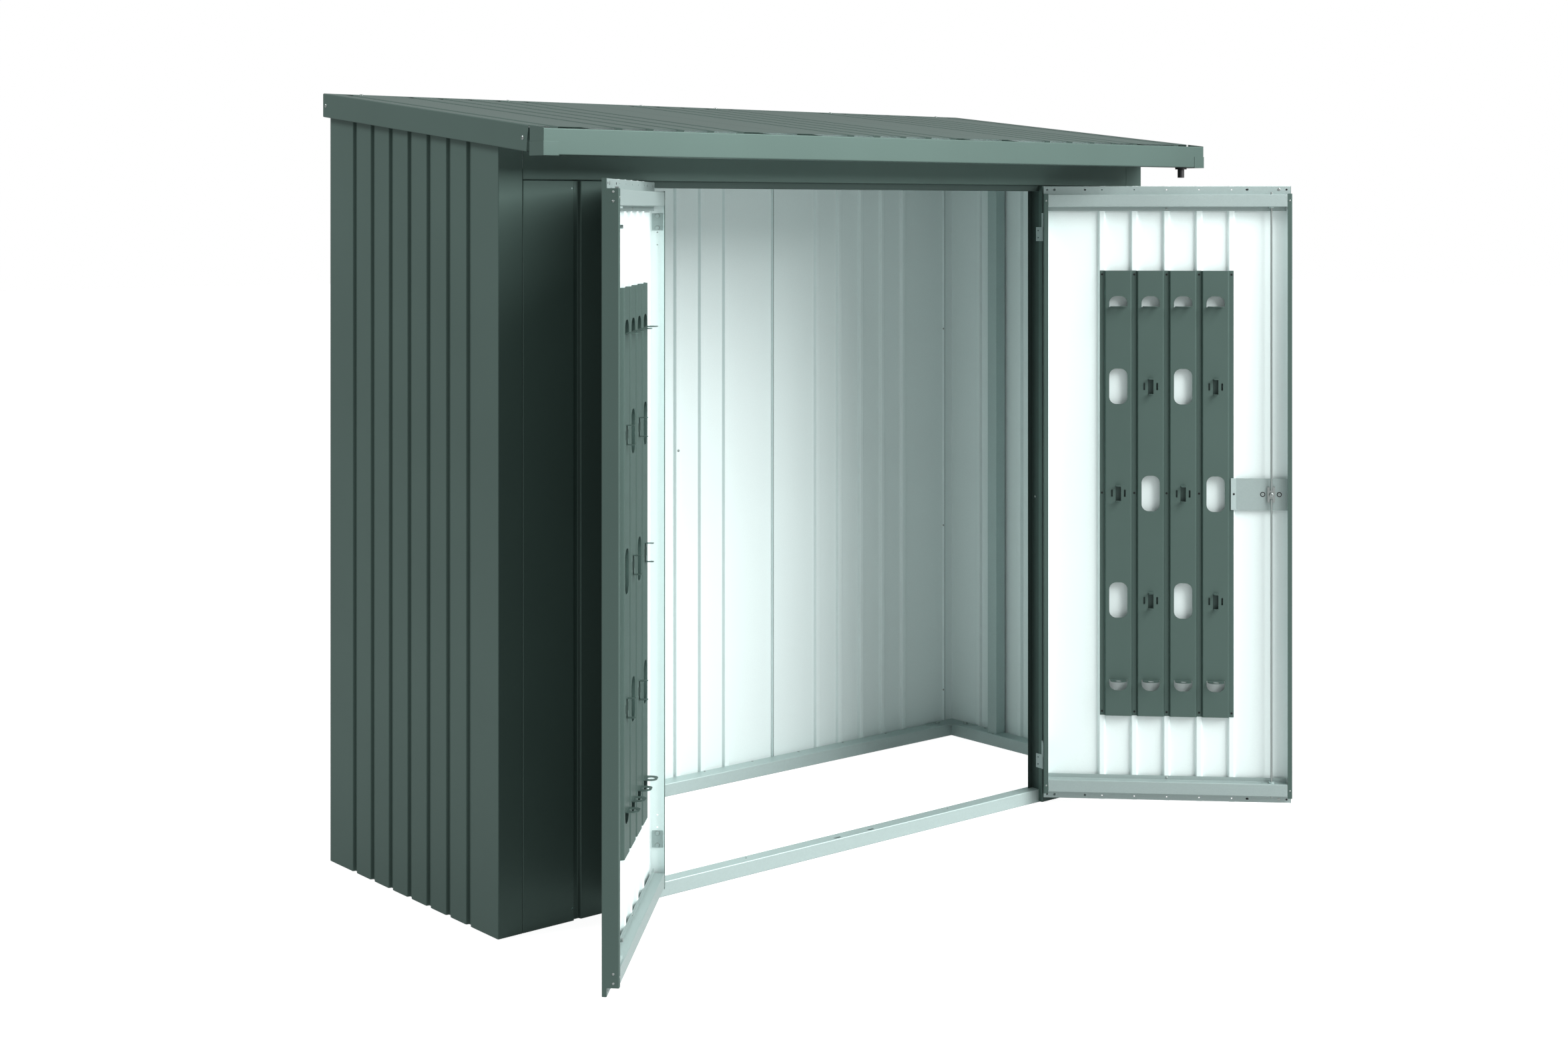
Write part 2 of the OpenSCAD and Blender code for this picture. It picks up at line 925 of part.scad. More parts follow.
// Cross channels, and the hem and strip that close a door's ends over them
channel_path = [[rib_in, channel_top], [door_t, channel_top],
    [door_t, channel_foot], [strip_in, channel_foot], [strip_in, channel_foot - 12]];
hem_path = [[sheet_t, door_top - 0.4], [strip_in, door_top - 0.4],
    [strip_in, channel_top + 0.1]];

module top_channel(side) {
    difference() {
        union() {
            translate([door_lip + 0.5, 0, 0])
                along_x(door_w - 2 * door_lip - 1)
                    polygon(outline(rounded(channel_path, 1.5), -channel_t));
            translate([sheet_t, 0, 0])
                along_x(door_w - 2 * sheet_t)
                    polygon(outline(rounded(hem_path, 1.5), -channel_t));
        }
        // The hem stops short of the grooves
        for (c = centres(panel_grooves))
            translate([rib_mid + c - groove_open / 2 - bend_r, 0, door_top - 3])
                cube([groove_open + 2 * bend_r, rib_in, 10]);
        for (c = centres(panel_grooves))
            punch(rib_mid + c, door_top - 10)
                circle(2);
        for (p = [[10.6, 2.5], [31, 3.5], [117, 3], [door_w - 121, 3], [door_w - 13, 2.5]])
            punch(p[0], door_top - 10)
                circle(p[1]);
        // A drain slot near the hinge edge
        translate([44, bolt_t - 2.5, channel_top - 5])
            cube([12, 5, 10]);
        // Ways for the bolts
        if (side > 0)
            translate([lock_s, bolt_t, channel_foot - 5])
                cylinder(r = rod_r + rod_gap, h = channel_h + 10);
        else
            translate([lock_s - flat_w / 2 - rod_gap, bolt_t - flat_t / 2 - rod_gap,
                channel_foot - 5])
                cube([flat_w + 2 * rod_gap, flat_t + 2 * rod_gap, channel_h + 10]);
    }
}

module door_channels(side) {
    finish(zinc)
        on_door(side)
            ends()
                top_channel(side);
}

module left_door_channels() {
    door_channels(-1);
}

module right_door_channels() {
    door_channels(1);
}

// Tool boards
board_path = [for (c = centres(panel_grooves)) each
    let (f = board_floor / 2, m = rib_mid - c, end = (panel_grooves - 1) / 2 * groove_pitch)
    concat(
        c < end - 1 ? [[m - f - 4.5, board_in]] : [],
        [[m - f, rib_in], [m + f, rib_in]],
        c > 1 - end ? [[m + f + 4.5, board_in]] : [])];
columns = [for (i = [0:panel_grooves - 2])
    rib_mid + (i - (panel_grooves - 2) / 2) * groove_pitch];
far_rows = [-1, 1];
// Hooks and slots change places from row to row
function is_hook(i, row) = (i + (row == 0 ? 0 : 1)) % 2 == 0;

module tool_board(side) {
    finish(paint)
        on_door(side)
            difference() {
                translate([0, 0, door_mid - board_h / 2])
                    sheet(board_path, board_t, board_h, 1.5);
                for (s = columns, row = far_rows)
                    punch(s, door_mid + row * (row_far - dee_h / 2))
                        mirror([0, row < 0 ? 1 : 0])
                            dee(hole_w, dee_h, hole_r);
                for (i = [0:len(columns) - 1], row = [-1, 0, 1])
                    punch(columns[i], door_mid + row * row_near)
                        if (is_hook(i, row)) {
                            square([hook_w, hook_h], center = true);
                            for (x = [-18, 18])
                                translate([x, 0])
                                    round_rect(5, 21, 2.4);
                        } else
                            round_rect(hole_w, slot_h, hole_r);
            }
}

module left_tool_board() {
    tool_board(-1);
}

module right_tool_board() {
    tool_board(1);
}

// Ring tabs bent out of the board at its round-topped holes
module tool_rings(side) {
    finish(paint)
        on_door(side)
            for (s = columns, row = far_rows)
                translate([s, board_in, door_mid + row * (row_far - dee_h / 2)
                    + (row < 0 ? -board_t : 0)])
                    linear_extrude(board_t)
                        difference() {
                            dee(hole_w - 5, ring_l, 0.8 * hole_r);
                            translate([0, ring_l / 2])
                                circle(ring_r);
                        }
}

module left_tool_rings() {
    tool_rings(-1);
}

module right_tool_rings() {
    tool_rings(1);
}

// Pairs of flat tabs bent out of the board for tool hooks
module hook_tabs(side) {
    finish(paint)
        on_door(side)
            for (i = [0:len(columns) - 1], row = [-1, 0, 1])
                if (is_hook(i, row))
                    for (up = [-1, 1])
                        translate([columns[i] - hook_w / 2 + 0.5, board_in,
                            door_mid + row * row_near + up * (hook_h - board_t) / 2
                            - board_t / 2])
                            cube([hook_w - 1, hook_l, board_t]);
}

module left_hook_tabs() {
    hook_tabs(-1);
}

module right_hook_tabs() {
    hook_tabs(1);
}

// Door half of a hinge: a leaf and a knuckle that drops over the pin
module door_hinges(side) {
    finish(zinc)
        on_door(side)
            for (z = [hinge_low, hinge_top])
                translate([-hinge_gap / 2, -pin_front, z])
                    difference() {
                        union() {
                            cylinder(r = knuckle_r, h = hinge_h);
                            translate([hinge_gap / 2 - leaf_t, 0, 0])
                                cube([leaf_t, leaf_w, hinge_h]);
                        }
                        translate([0, 0, -5])
                            cylinder(r = pin_r + turn_gap, h = hinge_h + 10);
                    }
}

module left_door_hinges() {
    door_hinges(-1);
}

module right_door_hinges() {
    door_hinges(1);
}

module hinge_plates(side) {
    finish(steel)
        on_door(side)
            for (z = [hinge_low - 1, hinge_top - 1])
                translate([sheet_t, door_t / 2, z]) {
                    translate([0, -leaf_w / 2, 0])
                        cube([2, leaf_w, hinge_h + 1]);
                    for (u = [6, hinge_h - 5])
                        translate([2, 0, u])
                            disc_x(4.5, 2.5);
                }
}

module left_hinge_plates() {
    hinge_plates(-1);
}

module right_hinge_plates() {
    hinge_plates(1);
}

module door_screws(side) {
    finish(steel)
        on_door(side) {
            ends() {
                for (s = [7, door_w - 7])
                    translate([s, door_t, channel_foot + channel_h / 2])
                        disc_y(3, 1.2);
                for (u = [5, 25])
                    translate([door_w, 25, channel_top - u])
                        disc_x(3, 1);
                translate([rib_mid, strip_in, channel_foot - 6])
                    disc_y(3, 1.5);
                translate([door_w - 34, strip_in, door_top - 10])
                    disc_y(4.5, 0.8);
            }
            for (c = centres(panel_grooves), z = [-1, 0, 1])
                if (side < 0 || z != 0 || c < (panel_grooves - 1) / 2 * groove_pitch - 1)
                    translate([rib_mid + c, floor_face, door_mid + z * (board_h / 2 - 11)])
                        disc_y(3, 1.5);
            if (side > 0)
                for (z = [-1, 1])
                    translate([rib_mid + board_w / 2, plate_face, door_mid + z * 30])
                        disc_y(3, 1.5);
        }
}

module left_door_screws() {
    door_screws(-1);
}

module right_door_screws() {
    door_screws(1);
}

// Lock of the right door
module right_lock_plate() {
    start = rib_mid + board_w / 2 - board_floor + 3.5;
    finish(zinc)
        on_door(1)
            difference() {
                union() {
                    translate([start, plate_in, door_mid - plate_h / 2])
                        cube([door_w - sheet_t - start, plate_t, plate_h]);
                    for (x = [-23, 23])
                        translate([lock_s + x, plate_face, door_mid])
                            disc_y(4.5, 1.5);
                }
                translate([lock_s, 0, door_mid])
                    disc_y(spindle_r + turn_gap, door_t);
                for (x = [-23, 23])
                    translate([lock_s + x, plate_face, door_mid])
                        disc_y(2.2, 5);
            }
}

module right_rod_guides() {
    finish(zinc)
        on_door(1)
            ends()
                translate([lock_s, bolt_t, channel_foot - 4])
                    difference() {
                        cylinder(r = 8, h = 4);
                        translate([0, 0, -1])
                            cylinder(r = rod_r + turn_gap, h = 6);
                    }
}

escutcheon_t = 8;

module right_escutcheon() {
    finish(black)
        on_door(1)
            translate([lock_s, -escutcheon_t, door_mid])
                difference() {
                    disc_y(24, escutcheon_t);
                    translate([0, -1, 0])
                        disc_y(spindle_r + turn_gap, escutcheon_t + 2);
                }
}

// Turning handle: hub, a bar with round ends and its key barrel, and the
// spindle that passes through the door and the cam to its end screw
module lock_handle() {
    hub_in = -escutcheon_t - 0.4;
    finish(black)
        on_door(1)
            translate([lock_s, 0, door_mid]) {
                translate([0, hub_in - 5, 0])
                    disc_y(spindle_r, cam_in + cam_t - hub_in + 6);
                translate([0, cam_in + cam_t, 0])
                    difference() {
                        disc_y(5.5, 3.5);
                        translate([-6, 2, -0.8])
                            cube([12, 4, 1.6]);
                    }
                translate([0, hub_in - 14, 0])
                    disc_y(15, 14);
                difference() {
                    union() {
                        for (x = [-1, 1])
                            translate([x * (grip_l / 2 - 9), hub_in - 26, 0])
                                disc_y(9, 14);
                        translate([9 - grip_l / 2, hub_in - 26, -9])
                            cube([grip_l - 18, 14, 18]);
                        translate([0, hub_in - 27.5, 0])
                            disc_y(8.5, 5);
                    }
                    translate([-1, hub_in - 30, -4.5])
                        cube([2, 4, 9]);
                }
            }
}

module lock_cam() {
    notch = 2.5 * rod_r;
    finish(steel)
        on_door(1)
            translate([lock_s, cam_in + cam_t, door_mid])
                rotate([90, 0, 0])
                    linear_extrude(cam_t)
                        difference() {
                            square([cam_w, cam_h], center = true);
                            circle(spindle_r + turn_gap);
                            for (z = [-1, 1])
                                translate([0, z * cam_h / 2])
                                    square([notch, cam_h / 2 - 2], center = true);
                        }
}

module upper_rod() {
    finish(steel)
        on_door(1)
            translate([lock_s, bolt_t, door_mid + rod_end])
                cylinder(r = rod_r, h = bolt_tip - door_mid - rod_end);
}

module lower_rod() {
    finish(steel)
        on_door(1)
            translate([lock_s, bolt_t, bolt_foot])
                cylinder(r = rod_r, h = door_mid - rod_end - bolt_foot);
}

// Flat bolts of the left door
module left_bolt_guides() {
    finish(zinc)
        on_door(-1)
            ends()
                translate([lock_s, bolt_t, channel_foot - 6])
                    difference() {
                        translate([-flat_w, -1.6 * flat_t, 0])
                            cube([2 * flat_w, 3.2 * flat_t, flat_t]);
                        translate([-flat_w / 2 - flat_gap, -flat_t / 2 - flat_gap, -1])
                            cube([flat_w + 2 * flat_gap, flat_t + 2 * flat_gap, flat_t + 2]);
                    }
}

// A flat bolt that ends at z and a knob to push it
module flat_bolt(z, way) {
    finish(steel)
        on_door(-1)
            translate([lock_s, bolt_t, z]) {
                translate([-flat_w / 2, -flat_t / 2, way > 0 ? -flat_l : 0])
                    cube([flat_w, flat_t, flat_l]);
                translate([0, 0, -way * (flat_l - 14)])
                    disc_y(4.5, door_t - bolt_t - 1);
            }
}

module left_top_bolt() {
    flat_bolt(bolt_tip, 1);
}

module left_bottom_bolt() {
    flat_bolt(bolt_foot, -1);
}

base_rail_front();
base_rail_back();
base_rails_side();
base_gussets();
base_bolts();
side_wall_left();
side_wall_right();
back_panel_left();
back_panel_mid();
back_panel_right();
front_panel_left();
front_panel_right();
header();
lintel();
jambs();
door_stops();
side_posts();
roof_rail_back();
roof_rails_side();
purlin();
roof_panel_left();
roof_panel_mid();
roof_panel_right();
roof_trim_back();
roof_trims_side();
gutter();
gutter_end_caps();
gutter_clips();
gutter_outlet();
sheet_screws();
frame_hinges_left();
frame_hinges_right();
left_door_skin();
left_door_edges();
left_door_channels();
left_tool_board();
left_tool_rings();
left_hook_tabs();
left_door_hinges();
left_hinge_plates();
left_door_screws();
left_bolt_guides();
left_top_bolt();
left_bottom_bolt();
right_door_skin();
right_door_edges();
right_door_channels();
right_tool_board();
right_tool_rings();
right_hook_tabs();
right_door_hinges();
right_hinge_plates();
right_door_screws();
right_lock_plate();
right_rod_guides();
right_escutcheon();
lock_handle();
lock_cam();
upper_rod();
lower_rod();
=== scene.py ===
"""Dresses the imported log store: folded two-sided sheets, powder coat, zinc and fasteners.

Sizes in capitals are millimetres, measured from the shed's back face, as on the drawing.
"""

from math import atan2, cos, degrees, pi, radians, sin, sqrt, tan, tau

import bmesh
import bpy
from bpy.props import FloatProperty, FloatVectorProperty, IntProperty, PointerProperty
from mathutils import Matrix, Vector


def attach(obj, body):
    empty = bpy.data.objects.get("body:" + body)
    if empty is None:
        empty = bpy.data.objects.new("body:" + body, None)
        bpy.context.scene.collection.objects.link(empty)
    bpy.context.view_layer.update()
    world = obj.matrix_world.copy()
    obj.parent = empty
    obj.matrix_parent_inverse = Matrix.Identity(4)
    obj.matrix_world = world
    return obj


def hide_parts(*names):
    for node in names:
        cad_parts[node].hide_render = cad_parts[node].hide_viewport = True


bl_info = {
    "name": "Log Store",
    "version": (1, 0, 0),
    "blender": (4, 5, 0),
    "location": "3D View > Sidebar > Log Store",
    "description": "Ribbed steel log store with two doors, tool boards and a gutter",
    "category": "Object",
}

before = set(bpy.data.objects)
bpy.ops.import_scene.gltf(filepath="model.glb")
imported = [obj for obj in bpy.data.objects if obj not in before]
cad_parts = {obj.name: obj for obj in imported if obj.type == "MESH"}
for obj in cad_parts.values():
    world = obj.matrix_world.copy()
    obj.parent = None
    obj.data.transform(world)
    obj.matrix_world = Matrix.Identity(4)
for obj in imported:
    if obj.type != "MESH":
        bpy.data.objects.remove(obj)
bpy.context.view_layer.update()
MM = 0.001

# The drawing's sizes
BACK_Y = 16.8
PANEL_W, WALL_HALF, WALL_D, WALL_FOOT = 722, 1125, 802, 3
PITCH, GROOVE_OPEN, GROOVE_FLOOR, GROOVE_D = 90.5, 20, 14, 10
SHEET_T, FRAME_T, BEND = 0.8, 1.5, 2.5
RIB_IN = GROOVE_D + SHEET_T
BACK_SEAM, BACK_FOLD, FRONT_SEAM, FRONT_STEP = 1083, 1.2, 1057, 1095
FRAME_X, FRAME_FRONT = WALL_HALF - RIB_IN, -789
RAIL_H, RAIL_W, RAIL_LIP, FRONT_RAIL, FRONT_RAIL_LIP = 37, 50, 12, 40, 15
BOLT_SLOT, ANCHOR, POST = (59, -778, 22, 9, 4.4), (358, -765, 3), (1070.2, -231)
OPEN_HALF, HEADER_Z, STOP_Y = 698, 1759, -762
FRONT_HOLES, FRONT_GAP = (918, (33, 1740), 2.5), 2

# The roof's sizes; runs go down the slope
ROOF_TOP, ROOF_HALF, SLOPE = 1990, 1145, radians(6.55)
TRIM_T, TRIM_H, TRIM_LIP, TRIM_HEM, TRIM_LEG = 0.8, 60, 22, 12, 25
BACK_TRIM_Z, BACK_TRIM_TOP = 1930, 1987.5
ROOF_Z, ROOF_RUN = ROOF_TOP - TRIM_T / cos(SLOPE), (3, 976.4)
ROOF_RAIL_W, ROOF_RAIL_H, ROOF_RAIL_FOOT, SIDE_RAIL_RUN = 40, 30, 1915, (51.1, 761.7)
GUTTER_FRONT, GUTTER_BACK, GUTTER_H, GUTTER_HEM, GUTTER_T = 1020, 964, 60.5, 8, 1.0
GUTTER_RIM = ROOF_TOP - GUTTER_FRONT * tan(SLOPE) - 1
GUTTER_Z = GUTTER_RIM - GUTTER_H
OUTLET = (1078, -992, 9.5)

# The doors' sizes; s runs from the hinge edge, t inwards from the outer face
SIDES = ((1, "right"), (-1, "left"))
DOOR_W, DOOR_T, DOOR_LIP, DOOR_FOOT, DOOR_TOP = 692, 38, 13, 21, 1756
DOOR_MID = (DOOR_TOP + DOOR_FOOT) / 2
DOOR_BEND, DOOR_HOLE, EDGE_HOLES = 2.75, 2, (1634, 1604, 187, 217)
EDGE_STEP, EDGE_FOOT, EDGE_TOP = RIB_IN + 0.1, 40, 1734.5
# The black discs on the hems are painted shade, standing in for holes that look dark
HEM_T, HEM_Z, SHADE_DOTS_S = 11.8, 1746, (569, 679.5)
PIN, PIN_GAP, PIN_FRONT, HINGE_PLATES = (696.5, -805.5), 1.5, 3.5, (138, 1639)
BOARD_H, BOARD_T, BOARD_IN, BOARD_BEND = 1258, 1.2, 20, 1.5
BOARD_FOLD, BOARD_FLOOR, BOARD_RIVET = 10.5, 6, 11
ROWS_FAR, ROWS_NEAR, DEE, SLOT = 541.5, 302, (51, 31, 20), (51, 100, 20)
HOOK_HOLE, SLIT, SLIT_S = (15, 47, 1.2), (5, 21, 2.4), 18
RING_TAB, HOOK_TAB, TAB_FACE, TAB_BEND = (DEE[0] - 5, 30, 16, 9), (14, 21, 3), 2.6, 2.4
# Painted shade: the cross-section and height of a dark sheet set behind each hook window so the
# window looks black
SHADE_PLATE, SHADE_PLATE_H = ((-27, 18.7), (-22, 18.7), (-22, 12.5), (22, 12.5), (22, 18.7),
                          (27, 18.7)), 58
LOCK_S, LOCK_HOLE, LOCK_SCREW_S, PLATE_H, SPINDLE_END = 636, 8, 23, 89, 24
PLATE_LIP = ((524.5, 13.6), (525, 14.6), (538.5, 14.6), (539, 13.6))
# Black rings round the lock screws are painted shade: their radius and the heights they span
LOCK_SHADE_RING = (7.2, 13.5, 13.9)

# The fasteners' places
WALL_SCREWS, MID_SCREW, STOP_SCREW = (0.07, 0.346, 0.676), 0.511, (12, 18)
TRIM_SCREWS, RIDGE_ROW, RIDGE_SCREWS = (14, GUTTER_BACK - 29), 13, (0.119, 0.514, 0.909)
SCREW_IN, SIDE_SCREWS = 9, (-RIB_IN - 160, -WALL_D / 2, FRAME_FRONT + 200)
GUSSET_T, GUSSET_BOLTS = 2, (18, 81.6)
LIP_SCREW, EDGE_SCREWS, STRIP_RIVET, BOSS_IN = (7, 1715), (25, (1727, 1707)), 1692, 34
PLATE_RIVET, LOCK_SCREW_T, HINGE_NUTS = 533, 13.8, (6, 35)

# How deep each hole is cut
FRONT_CUT, RAIL_CUT, GUTTER_CUT = (-805, -799), (32, 39), (GUTTER_Z - 2, GUTTER_Z + 4)
HEM_CUT, EDGE_CUT, LOCK_CUT, BOARD_CUT, TAB_CUT = (6, 14), (-5, 15), (-2, 4), (18, 24), (0.5, 4)

# How edges are rounded, and the angles that stay sharp in folds and small pieces
EDGES, THICK_EDGE, PLATE_EDGE = {"coat": 0.3, "zinc": 0.3, "dull": 0.4, "steel": 0.4,
                                 "plastic": 0.8}, 0.6, 0.35
FOLD_SHARP, PIECE_SHARP, STRAIGHT, WELD = 32, 40, radians(89), 0.00002

# The studio, in metres and degrees: a light is its place, aim, size and share of the power
LIGHTS = (("key light", (2.3, -5.9, 4.8), (0, -0.5, 0.8), 5.2, 1.0),
          ("left light", (-5.0, 0.9, 5.2), (-0.8, -0.3, 0.9), 2.0, 0.26))
FLOOR_HALF, FLOOR_Z, FLOOR_TONES = 40, -0.0005, ((0.52, 0.15), (0.42, 0.92))
EYE, EYE_TURN, LENS = (-3.862, -5.0692, 1.687), (90, 0, -40.04), (50.09, 36, -0.1995)
BLACK, PLATING, PLASTIC = (0.02, 0.021, 0.021), (0.34, 0.38, 0.37), (0.013, 0.013, 0.014)


# Places

def in_plan(u, v, w):
    return Vector((u, v + BACK_Y, w)) * MM


def across(u, v, w):
    return Vector((w, u + BACK_Y, v)) * MM


def on_roof(u, v, w):
    """u across, v square to the roof sheets and w down the slope."""
    y, z = -w * cos(SLOPE) - v * sin(SLOPE), v * cos(SLOPE) - w * sin(SLOPE)
    return Vector((u, y + BACK_Y, z + ROOF_Z)) * MM


def on_door(side):
    """The place of s, t, z on a door that stands open; side is 1 right, -1 left."""
    c = sqrt(0.5)

    def place(s, t, z):
        a, b = s + PIN_GAP, t + PIN_FRONT
        return Vector((side * (PIN[0] + c * (a - b)), PIN[1] + BACK_Y - c * (a + b), z)) * MM
    return place


def mirrored(place):
    return lambda *p: place(*p) * Vector((-1, 1, 1))


def both_sides(place):
    return ("right", 1, place), ("left", -1, mirrored(place))


def axes(place):
    """The directions of a place's three axes."""
    return [place(*axis) - place(0, 0, 0) for axis in ((1, 0, 0), (0, 1, 0), (0, 0, 1))]


def about_mid(height):
    """The heights of a door's piece, from its lower to its upper edge."""
    return DOOR_MID - height / 2, DOOR_MID + height / 2


def roof_z(y, below):
    return ROOF_Z + y * tan(SLOPE) - below / cos(SLOPE)


# Node building

class Recipe:
    """Adds nodes to a material's or a geometry tree."""

    def __init__(self, tree):
        self.tree = tree
        tree.nodes.clear()

    def add(self, kind, settings=None, inputs=None):
        """A node of one kind: its settings first, then the values or links of its sockets."""
        node = self.tree.nodes.new(kind)
        for key, value in (settings or {}).items():
            setattr(node, key, value)
        for key, value in (inputs or {}).items():
            value = getattr(value, "socket", value)
            if isinstance(value, bpy.types.NodeSocket):
                self.tree.links.new(value, node.inputs[key])
            else:
                node.inputs[key].default_value = value
        return node

    def number(self, kind, settings=None, inputs=None):
        return Number(self, self.add(kind, settings, inputs).outputs[0])

    def noise(self, scale, detail):
        return self.number("ShaderNodeTexNoise", None,
                           {"Vector": self.where, "Scale": scale, "Detail": detail})

    def bump(self, height, strength, depth):
        return self.add("ShaderNodeBump", None, {"Strength": strength, "Distance": depth,
                                                 "Height": height}).outputs[0]

    def shades(self, colour, share, low, high):
        """The colour times low to the colour times high, as share goes from 0 to 1."""
        dark, light = ((*scaled(colour, by), 1) for by in (low, high))
        return self.add("ShaderNodeMix", {"data_type": "RGBA"},
                        {0: share, 6: dark, 7: light}).outputs[2]


class Number:
    """A number socket; arithmetic on it adds Math nodes."""

    def __init__(self, recipe, socket):
        self.recipe, self.socket = recipe, socket

    def math(self, operation, *values):
        return self.recipe.number("ShaderNodeMath", {"operation": operation},
                                  dict(enumerate(values)))

    def __add__(self, other):
        return self.math("ADD", self, other)

    def __mul__(self, other):
        return self.math("MULTIPLY", self, other)

    __radd__ = __add__

    def between(self, low, high):
        """0 at low, 1 at high, and clamped."""
        return self.recipe.number("ShaderNodeMapRange", {"clamp": True},
                                  {0: self, 1: low, 2: high, 3: 0.0, 4: 1.0})


def finish(name, look, *values):
    """A new material with one look, which follows the object's own coordinates."""
    material = bpy.data.materials.new(name)
    material.use_nodes = True
    r = Recipe(material.node_tree)
    r.where = r.add("ShaderNodeTexCoord").outputs["Object"]
    shader = r.add("ShaderNodeBsdfPrincipled", None, look(r, *values))
    r.add("ShaderNodeOutputMaterial", None, {0: shader.outputs[0]})
    return material


def scaled(colour, by):
    return tuple(min(1.0, c * by) for c in colour)


def powder_coat(r, colour, rough, metal):
    """Metallic powder coat: fine flake, faint orange peel and slow clouds of tone."""
    flake, cloud, peel = r.noise(1400.0, 1.0), r.noise(2.3, 3.0), r.noise(420.0, 1.0)
    tone = (flake * 0.45 + cloud * 0.55).between(0.32, 0.68)
    return {"Base Color": r.shades(colour, tone, 0.93, 1.07),
            "Roughness": rough - 0.03 + cloud * 0.06 + flake * 0.04, "Metallic": metal,
            "Specular IOR Level": 0.3, "Specular Tint": (0.45, 0.5, 0.49, 1),
            "Normal": r.bump(peel, 0.12, 0.00015)}


def primer(r, colour):
    """Pale backing coat of the sheets: matt, with a fine mottle."""
    mottle, cloud = r.noise(260.0, 3.0), r.noise(1.7, 2.0)
    tone = (mottle * 0.4 + cloud * 0.6).between(0.3, 0.7)
    return {"Base Color": r.shades(colour, tone, 0.965, 1.02),
            "Roughness": 0.5 + mottle * 0.1, "Metallic": 0.0,
            "Normal": r.bump(mottle, 0.1, 0.0001)}


def galvanised(r, colour, rough):
    """Zinc coat: a faint spangle of crystals, each with its own tone and gloss."""
    crystal = r.add("ShaderNodeTexVoronoi", None, {"Vector": r.where, "Scale": 260.0})
    grain = r.number("ShaderNodeSeparateColor", None, {"Color": crystal.outputs["Color"]})
    fine = r.noise(900.0, 2.0)
    return {"Base Color": r.shades(colour, grain * 0.7 + fine * 0.3, 0.965, 1.03),
            "Roughness": rough + grain * 0.06 + fine * 0.04, "Metallic": 0.4}


def plated(r, colour):
    """Bright plated fasteners with fine turning marks."""
    marks = r.noise(2200.0, 2.0)
    return {"Base Color": r.shades(colour, marks, 0.85, 1.05),
            "Roughness": 0.26 + marks * 0.16, "Metallic": 0.9}


def moulded(r, colour):
    """Moulded plastic with a fine spark-eroded grain."""
    grain = r.noise(1600.0, 2.0)
    return {"Base Color": r.shades(colour, grain, 0.8, 1.25),
            "Roughness": 0.42 + grain * 0.12, "Metallic": 0.0,
            "Normal": r.bump(grain, 0.25, 0.0002)}


FINISHES = {}


def paints():
    """The materials of the record's slots, made once."""
    if not FINISHES:
        f = bpy.context.scene.log_store_finish
        FINISHES.update(
            coat=finish("green_powder_coat", powder_coat, f.coat, f.coat_gloss, 0.4),
            trim=finish("dark_powder_coat", powder_coat, f.trim, f.coat_gloss + 0.04, 0.4),
            black=finish("black_powder_coat", powder_coat, BLACK, 0.5, 0.1),
            backing=finish("pale_backing_coat", primer, f.backing),
            zinc=finish("galvanised_steel", galvanised, f.zinc, 0.36),
            dull=finish("dull_galvanised_steel", galvanised, scaled(f.zinc, 0.76), 0.42),
            steel=finish("plated_steel", plated, PLATING),
            plastic=finish("black_plastic", moulded, PLASTIC))
    return FINISHES


# Geometry trees

def geometry_tree(name, sockets):
    tree = bpy.data.node_groups.new(name, "GeometryNodeTree")
    tree.interface.new_socket("Geometry", in_out="INPUT", socket_type="NodeSocketGeometry")
    for label, kind, default in sockets:
        socket = tree.interface.new_socket(label, in_out="INPUT", socket_type=kind)
        if default is not None:
            socket.default_value = default
    tree.interface.new_socket("Geometry", in_out="OUTPUT", socket_type="NodeSocketGeometry")
    recipe = Recipe(tree)
    return tree, recipe, recipe.add("NodeGroupInput").outputs


def sheet_tree():
    """Draws fold lines out to their far ends and gives them their thickness.

    Each point carries the place of its far end. The sheet's face is what its
    normal shows, and the thickness lies behind it.
    """
    tree, r, given = geometry_tree("Folded sheet", [
        ("Thickness", "NodeSocketFloat", SHEET_T * MM),
        ("Face", "NodeSocketMaterial", None), ("Back", "NodeSocketMaterial", None)])
    far = r.add("GeometryNodeInputNamedAttribute", {"data_type": "FLOAT_VECTOR"},
                {"Name": "far_end"})
    drawn = r.add("GeometryNodeExtrudeMesh", {"mode": "EDGES"},
                  {"Mesh": given["Geometry"], "Offset Scale": 0.01})
    face = r.add("GeometryNodeSetPosition", None,
                 {"Geometry": drawn.outputs["Mesh"], "Selection": drawn.outputs["Top"],
                  "Position": far.outputs[0]})
    face = r.add("GeometryNodeSetMaterial", None,
                 {"Geometry": face.outputs[0], "Material": given["Face"]})
    depth = Number(r, given["Thickness"]) * -1.0
    thick = r.add("GeometryNodeExtrudeMesh", {"mode": "FACES"},
                  {"Mesh": face.outputs[0], "Offset Scale": depth, "Individual": False})
    back = r.add("GeometryNodeSetMaterial", None,
                 {"Geometry": thick.outputs["Mesh"], "Selection": thick.outputs["Top"],
                  "Material": given["Back"]})
    turned = r.add("GeometryNodeFlipFaces", None, {"Mesh": back.outputs[0]})
    joined = r.add("GeometryNodeJoinGeometry")
    for side in (turned, face):
        tree.links.new(side.outputs[0], joined.inputs[0])
    closed = r.add("GeometryNodeMergeByDistance", None,
                   {"Geometry": joined.outputs[0], "Distance": WELD})
    r.add("NodeGroupOutput", None, {0: closed.outputs[0]})
    return tree


